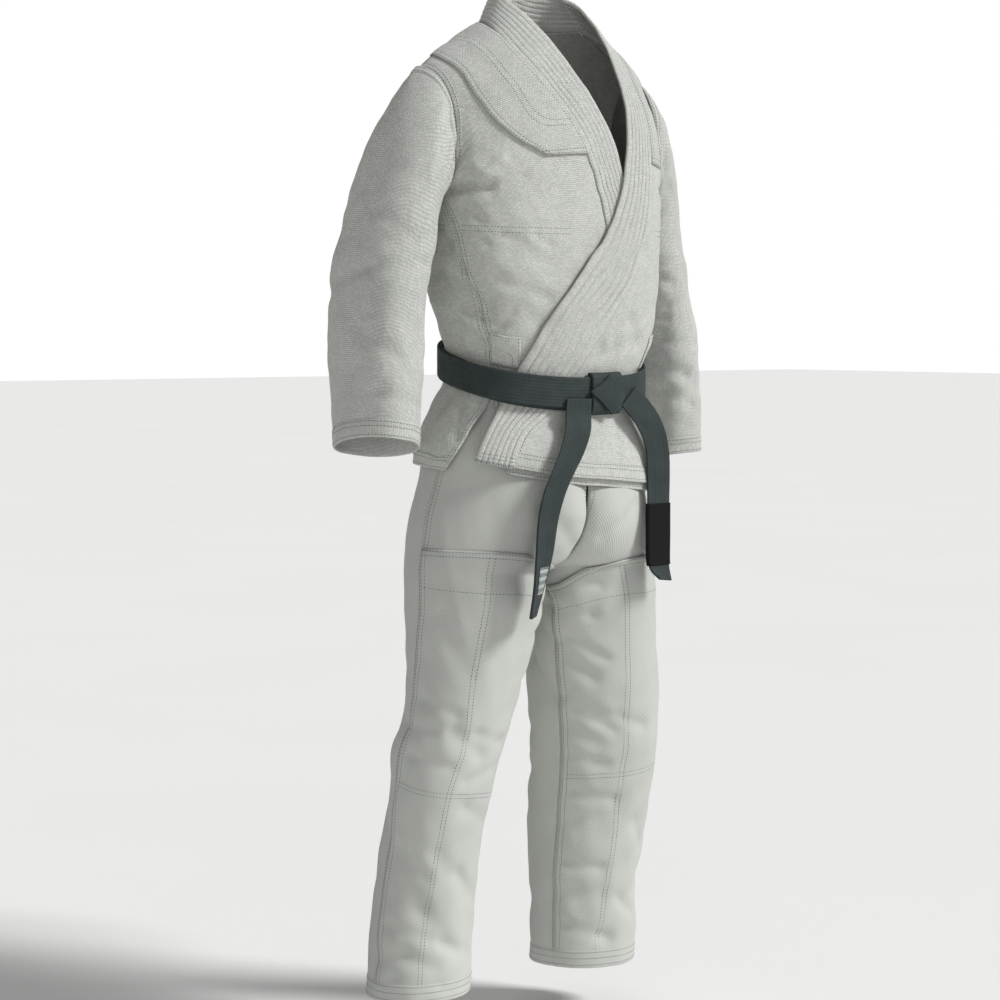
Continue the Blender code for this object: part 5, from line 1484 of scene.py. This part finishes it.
def jacketRelief(panel, points):
    creased = cloth["crease"] * foldHeight(points, bodyCreases, bareTorso) * ramp(np.abs(points[..., 2] - beltLevel), 0.024, 0.05)
    height = uneven(points, 11) + creased
    reach = np.abs(points[..., 2] - beltLevel)
    run = np.arctan2(points[..., 0], -points[..., 1]) * 0.14
    waves = np.sin(run * 2 * math.pi / 0.034 + 2.2 * np.sin(run * 31.0)) * (0.6 + 0.4 * np.sin(run * 17.0))
    return height + cloth["beltPucker"] * waves * ramp(reach, 0.024, 0.034) * ramp(reach, 0.085, 0.036)


def sleeveRelief(panel, points):
    side = -1 if panel.name.endswith("right") else 1
    creased = cloth["crease"] * foldHeight(points, sleeveCreases[side], lambda a, b: bareSleeve(side, a, b))
    return (uneven(points, 23, 1.2) + creased) * ramp(panel.t, 0.0, 0.1)


def legRelief(panel, points):
    side = -1 if panel.name.endswith("right") else 1
    creased = cloth["crease"] * foldHeight(points, legCreases[side], lambda a, b: bareLeg(side, a, b))
    return (uneven(points, 37, 1.3) + creased) * ramp(points[..., 2], 0.90, 0.80)


def stillRelief(panel, points):
    return np.zeros(points.shape[:-1])


def ribbed(rows, depth, lengthways):
    # Channels between parallel rows of sewing: the cloth is pulled down at each row.
    def relief(panel, points):
        run = panel.sideways if lengthways else panel.lengthways
        share = run / (run[-1:] if lengthways else run[:, -1:])
        return depth * (np.abs(np.sin(math.pi * rows * share)) ** 0.6 - 0.5)
    return relief


def collarRelief(panel, points):
    return ribbed(7, 0.0015, True)(panel, points) + uneven(points, 11, 0.8)


# The pieces: columns and rows of the fine grids, and the second layers and sewing on each

grids = {
    "jacket_back": {"columns": 112, "rows": 132},
    "jacket_front_left": {"columns": 64, "rows": 132},
    "jacket_front_right": {"columns": 64, "rows": 132},
    "sleeve_left": {"columns": 96, "rows": 112},
    "sleeve_right": {"columns": 96, "rows": 112},
    "collar": {"columns": 49, "rows": 420},
    "shoulder_yoke": {"columns": 26, "rows": 190},
    "vent_patch_left": {"columns": 12, "rows": 10},
    "vent_patch_right": {"columns": 12, "rows": 10},
    "waistband": {"columns": 180, "rows": 8},
    "belt_wrap_under": {"columns": 300, "rows": 40},
    "belt_wrap_over": {"columns": 300, "rows": 40},
    "belt_knot_wrap": {"columns": 40, "rows": 60},
    "belt_knot_flap": {"columns": 40, "rows": 24},
    "belt_tail_left": {"columns": 40, "rows": 130},
    "belt_tail_right": {"columns": 40, "rows": 130},
    "rank_bar": {"columns": 64, "rows": 40},
    "belt_tag": {"columns": 14, "rows": 22},
}
legGrids = {"trouser": {"columns": 54, "rows": 170}, "knee": {"columns": 54, "rows": 132}}
collarTuck = 0.045   # share of the collar's width that goes on under the body's edge, so no light shows there
hemSizes = {"jacket": 0.024, "trouser": 0.027, "cuff": 0.026, "felled": 0.010, "high": 0.0009}


def finePanel(coarse, material, relief, slot):
    grid = grids.get(coarse.name) or legGrids["knee" if coarse.name.startswith("knee") else "trouser"]
    start = -collarTuck if coarse.name == "collar" else coarse.across[0]
    across = np.linspace(start, coarse.across[-1], grid["columns"] + 1)
    along = np.interp(np.linspace(0, 1, grid["rows"] + 1), np.linspace(0, 1, len(coarse.along)), coarse.along)
    even = arc(coarse.middle[len(coarse.across) // 2][None], 1)[0]
    along = np.interp(np.linspace(0, even[-1], grid["rows"] + 1), even, coarse.along)
    panel = Panel(coarse, across, along, material, relief)
    panel.slot = slot
    return panel


def sewJacket(panels, cottonMaterial, thread):
    sewn = {name: Sewing(panel, thread) for name, panel in panels.items()}
    for name in ("jacket_back", "jacket_front_left", "jacket_front_right"):
        panel, sewing = panels[name], sewn[name]
        strip(panel, "hem_" + name, "low", 0.0, hemSizes["jacket"], hemSizes["high"], cottonMaterial)
        sewing.edge("low", (0.004, 0.016, 0.0215), lift=hemSizes["high"])
    for name in ("jacket_front_left", "jacket_front_right"):
        strip(panels[name], "side_" + name, "start", 0.0004, hemSizes["felled"], hemSizes["high"] * 0.8, cottonMaterial)
        sewn[name].edge("start", (0.0022, 0.0080), lift=hemSizes["high"] * 0.8)
        sewn[name].edge("end", (0.004,))
    for edge in ("start", "end"):
        sewn["jacket_back"].edge(edge, (0.003, 0.009))
    for name in ("sleeve_left", "sleeve_right"):
        panel, sewing = panels[name], sewn[name]
        strip(panel, "armhole_" + name, "low", 0.0006, hemSizes["felled"] + 0.002, hemSizes["high"], cottonMaterial)
        strip(panel, "cuff_" + name, "high", 0.0, hemSizes["cuff"], hemSizes["high"], cottonMaterial)
        sewing.edge("low", (0.003, 0.0095), lift=hemSizes["high"])
        sewing.edge("high", (0.004, 0.016, 0.0225), lift=hemSizes["high"])
        sewing.row(*panel.lineAt(0.49))
        sewing.row(*panel.lineAt(0.51))
    yokeSewing = sewn["shoulder_yoke"]
    yokeSewing.edge("end", (0.003, 0.009))
    yokeSewing.edge("start", (0.003,))
    for edge in ("low", "high"):
        yokeSewing.edge(edge, (0.003, 0.009))
    for name in ("vent_patch_left", "vent_patch_right"):
        for edge in ("start", "end", "low", "high"):
            sewn[name].edge(edge, (0.003,))
    lapels = sewn["collar"]
    for k in range(1, 7):
        lapels.row(*panels["collar"].lineAt(k / 7, lift=-0.0002))
    for edge in ("low", "high"):
        lapels.edge(edge, (0.003,), pitch=0.0021, turn=math.pi / 2, size=1.7)
        lapels.edge(edge, (0.009, 0.014))
    return sewn


torsoLines = [       # rows of sewing drawn over the body: angle, level; two rows lie a foot's width apart
    {"owner": "shoulder_yoke", "spots": ((-38, 1.44), (-36, 1.387), (-34, 1.352), (-31, 1.330), (-27, 1.305), (-20, 1.292),
                                         (-9, 1.290)), "apart": 0.003},
    {"owner": "shoulder_yoke", "spots": ((38, 1.44), (37, 1.387), (36, 1.352), (36, 1.330), (36, 1.300), (36, 1.272)),
     "apart": 0.003},
    {"owner": "jacket_front_right", "spots": ((-76, 1.187), (-60, 1.186), (-40, 1.185), (-20, 1.185), (-9, 1.185)), "apart": 0.0035},
    {"owner": "jacket_front_left", "spots": ((76, 1.187), (66, 1.186), (52, 1.185), (38, 1.185)), "apart": 0.0035},
    {"owner": "jacket_back", "spots": ((84, 1.187), (120, 1.186), (180, 1.185), (240, 1.186), (276, 1.187)), "apart": 0.0035},
    {"owner": "jacket_front_right", "spots": ((-63, 1.032), (-48, 1.027), (-46, 1.012)), "apart": 0.0},
]


def sewBody(panels, sewn, cottonMaterial):
    tree = topTree([panels[n] for n in ("jacket_back", "jacket_front_left", "jacket_front_right", "shoulder_yoke",
                                        "vent_patch_left", "vent_patch_right")])
    for line in torsoLines:
        for shift in ({0.0} if not line["apart"] else (-line["apart"], line["apart"])):
            spots = [(angle, level + shift) for angle, level in line["spots"]]
            if abs(line["spots"][0][0] - line["spots"][-1][0]) < 12 or line["owner"] == "shoulder_yoke":
                spots = [(angle + shift * 380, level + shift * 0.7) for angle, level in line["spots"]]
            sewn[line["owner"]].row(*drawn(spots, torso, tree))


legLines = {         # around the leg and level, near leg then far leg
    -1: [((65, 0.727), (65, 0.675), (68, 0.549), (77, 0.459), (75, 0.423), (72, 0.387), (71, 0.297), (66, 0.201),
          (62, 0.147), (60, 0.083)),
         ((8, 0.396), (45, 0.388), (90, 0.380), (130, 0.374), (158, 0.372)),
         ((8, 0.680), (60, 0.674), (110, 0.666), (158, 0.640))],
    1: [((98, 0.705), (96, 0.621), (102, 0.501), (105, 0.414), (107, 0.375), (105, 0.252), (108, 0.174), (116, 0.083)),
        ((8, 0.396), (45, 0.388), (90, 0.380), (130, 0.378), (158, 0.376)),
        ((8, 0.657), (60, 0.657), (110, 0.655), (158, 0.635))],
}


def sewLegs(panels, cottonMaterial, thread):
    sewn = {name: Sewing(panel, thread) for name, panel in panels.items()}
    for side, word in ((-1, "right"), (1, "left")):
        knee, front, back = (panels[n + word] for n in ("knee_patch_", "trouser_front_", "trouser_back_"))
        for panel in (knee, back):
            strip(panel, "hem_" + panel.name, "low", 0.0, hemSizes["trouser"], hemSizes["high"], cottonMaterial)
            sewn[panel.name].edge("low", (0.005, 0.015, 0.024), lift=hemSizes["high"])
        sewn[knee.name].edge("high", (0.003, 0.0095))
        sewn[knee.name].edge("start", (0.003, 0.0095))
        sewn[knee.name].edge("end", (0.003, 0.0095))
        for edge in ("start", "end"):
            sewn[back.name].edge(edge, (0.003,))
            sewn[front.name].edge(edge, (0.003, 0.009))
        tree = topTree([knee, front, back])

        def surface(around, level, side=side):
            return leg(side, around, level, 0.002)
        for k, spots in enumerate(legLines[side]):
            shifts = ((-2.2, 0.0), (2.2, 0.0)) if k == 0 else ((0.0, -0.003), (0.0, 0.003)) if k == 1 else ((0.0, 0.0),)
            for around, level in shifts:
                moved = [(a + around, b + level) for a, b in spots]
                sewn[knee.name].row(*drawn(moved, surface, tree, turned=-side))
    return sewn


def sewBelt(panels, thread):
    sewn = {name: Sewing(panel, thread) for name, panel in panels.items()}
    for name, panel in panels.items():
        if name in ("rank_bar", "belt_tag"):
            continue
        around = name.startswith("belt_wrap") or name == "belt_knot_wrap"
        for k in range(1, 9):
            line, up = panel.lineAt(k / 9, lift=-0.0001, lengthways=not around)
            sewn[name].row(line, up)
            if name.startswith("belt_tail"):
                sewn[name].row(line - up * panel.thick, -up)
    for edge in ("low", "high", "start", "end"):
        sewn["belt_tag"].edge(edge, (0.0022,))
    for side in ("left", "right"):
        sewn["belt_tail_" + side].edge("high", (0.006,))
    return sewn


def declare(panel, sewing):
    if sewing is not None:
        sewing.make()
    width = float(panel.sideways[-1].max())
    length = float(panel.lengthways[:, -1].max())
    for piece in [panel.object] + panel.extras:
        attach(piece, "root")
    round(min(panel.area, 1.0 * round(width, 3) * round(length, 3)), 4)
    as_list(panel.extras)


def studio():
    # Plain pale floor, soft light from the front right, and the camera at the photograph's angle.
    low = cadBox[0]
    bm = bmesh.new()
    bmesh.ops.create_grid(bm, x_segments=1, y_segments=1, size=40.0)
    bmesh.ops.translate(bm, verts=bm.verts, vec=(0.0, 0.0, -hold[2] - 0.001))
    mesh = bpy.data.meshes.new("floor")
    bm.to_mesh(mesh)
    bm.free()
    floor = bpy.data.objects.new("floor", mesh)
    scene.collection.objects.link(floor)
    paint, tree, shader = startMaterial("pale matt floor", 0.95)
    coords = add(tree, "ShaderNodeTexCoord")
    noise = add(tree, "ShaderNodeTexNoise", None, {"Scale": 1.2}, {"Vector": coords.outputs["Object"]})
    tone = add(tree, "ShaderNodeMix", {"data_type": "RGBA"}, {6: linear("#F4F4F3"), 7: linear("#F8F8F7")},
               {"Factor": noise.outputs["Fac"]})
    tree.links.new(tone.outputs[2], shader.inputs["Base Color"])
    mesh.materials.append(paint)
    world = bpy.data.worlds.new("studio")
    world.use_nodes = True
    seen = world.node_tree.nodes["Background"]
    seen.inputs["Color"].default_value = (1.0, 1.0, 1.0, 1.0)
    around = add(world.node_tree, "ShaderNodeBackground", None, {"Strength": lights["world"]})
    around.inputs["Color"].default_value = (1.0, 1.0, 1.0, 1.0)
    ray = add(world.node_tree, "ShaderNodeLightPath")
    both = add(world.node_tree, "ShaderNodeMixShader", None, None,
               {0: ray.outputs["Is Camera Ray"], 1: around.outputs["Background"], 2: seen.outputs["Background"]})
    world.node_tree.links.new(both.outputs["Shader"], world.node_tree.nodes["World Output"].inputs["Surface"])
    scene.world = world
    for name, light in lights["suns"].items():
        lamp = bpy.data.lights.new(name, "SUN")
        lamp.angle = math.radians(light["spread"])
        lamp.energy = light["power"]
        holder = bpy.data.objects.new(name, lamp)
        holder.rotation_euler = (-Vector(light["place"])).to_track_quat("-Z", "Y").to_euler()
        scene.collection.objects.link(holder)
    lens = bpy.data.cameras.new("camera")
    lens.lens, lens.sensor_width = 90.0, 36.0
    camera = bpy.data.objects.new("camera", lens)
    camera.location = (-2.2909, -2.8721, -0.41)
    camera.rotation_euler = tuple(math.radians(a) for a in (86.0, 0.0, -38.0))
    scene.collection.objects.link(camera)
    scene.camera = camera


lights = {
    "world": 0.30,
    "suns": {
        "key": {"place": (0.70, -1.0, 1.00), "spread": 16.0, "power": 2.9},
        "fill": {"place": (-0.6, -1.0, 0.35), "spread": 50.0, "power": 0.22},
    },
}


def main():
    pearl, twill, belt = pearlCotton(), cottonTwill(), beltCotton()
    # Grey thread, darker than its own slightly darker tone: its colour also holds the painted shade of the seams'
    # grooves
    greyThreadWithSeamShade = sewingThread("grey sewing thread with painted seam shade", "#6F7673", "#555C59")
    dark = sewingThread("dark sewing thread", "#222A2B", "#141A1B")
    coarse = coarsePieces()
    print("cut pieces laid out:", len(coarse))
    jacket = {n: finePanel(coarse[n], pearl, jacketRelief, "jacket_cotton")
              for n in ("jacket_back", "jacket_front_left", "jacket_front_right", "shoulder_yoke",
                        "vent_patch_left", "vent_patch_right")}
    jacket["collar"] = finePanel(coarse["collar"], pearl, collarRelief, "jacket_cotton")
    for word in ("left", "right"):
        jacket["sleeve_" + word] = finePanel(coarse["sleeve_" + word], pearl, sleeveRelief, "jacket_cotton")
    print("jacket made")
    sewn = sewJacket(jacket, pearl, greyThreadWithSeamShade)
    sewBody(jacket, sewn, pearl)
    print("jacket sewn")
    trousers = {n: finePanel(coarse[n], twill, legRelief, "trouser_twill") for n in coarse
                if n.startswith(("trouser_", "knee_"))}
    trousers["waistband"] = finePanel(coarse["waistband"], twill, stillRelief, "trouser_twill")
    sewn.update(sewLegs(trousers, twill, greyThreadWithSeamShade))
    print("trousers made and sewn")
    ribs = {"belt_wrap_under": False, "belt_wrap_over": False, "belt_knot_wrap": False, "belt_knot_flap": True,
            "belt_tail_left": True, "belt_tail_right": True}
    girdles = {n: finePanel(coarse[n], belt, ribbed(9, 0.0007, way), "belt_cotton") for n, way in ribs.items()}
    girdles["rank_bar"] = finePanel(coarse["rank_bar"], blackCotton(), stillRelief, "bar_cotton")
    girdles["belt_tag"] = finePanel(coarse["belt_tag"], wovenTag(), stillRelief, "tag_woven")
    sewn.update(sewBelt(girdles, dark))
    print("belt made and sewn")
    for name, panel in {**jacket, **trousers, **girdles}.items():
        declare(panel, sewn.get(name))
        print(name, "flat", round(float(panel.sideways[-1].max()), 3), round(float(panel.lengthways[:, -1].max()), 3),
              round(panel.area, 4))
    studio()


main()
print("studio ready")
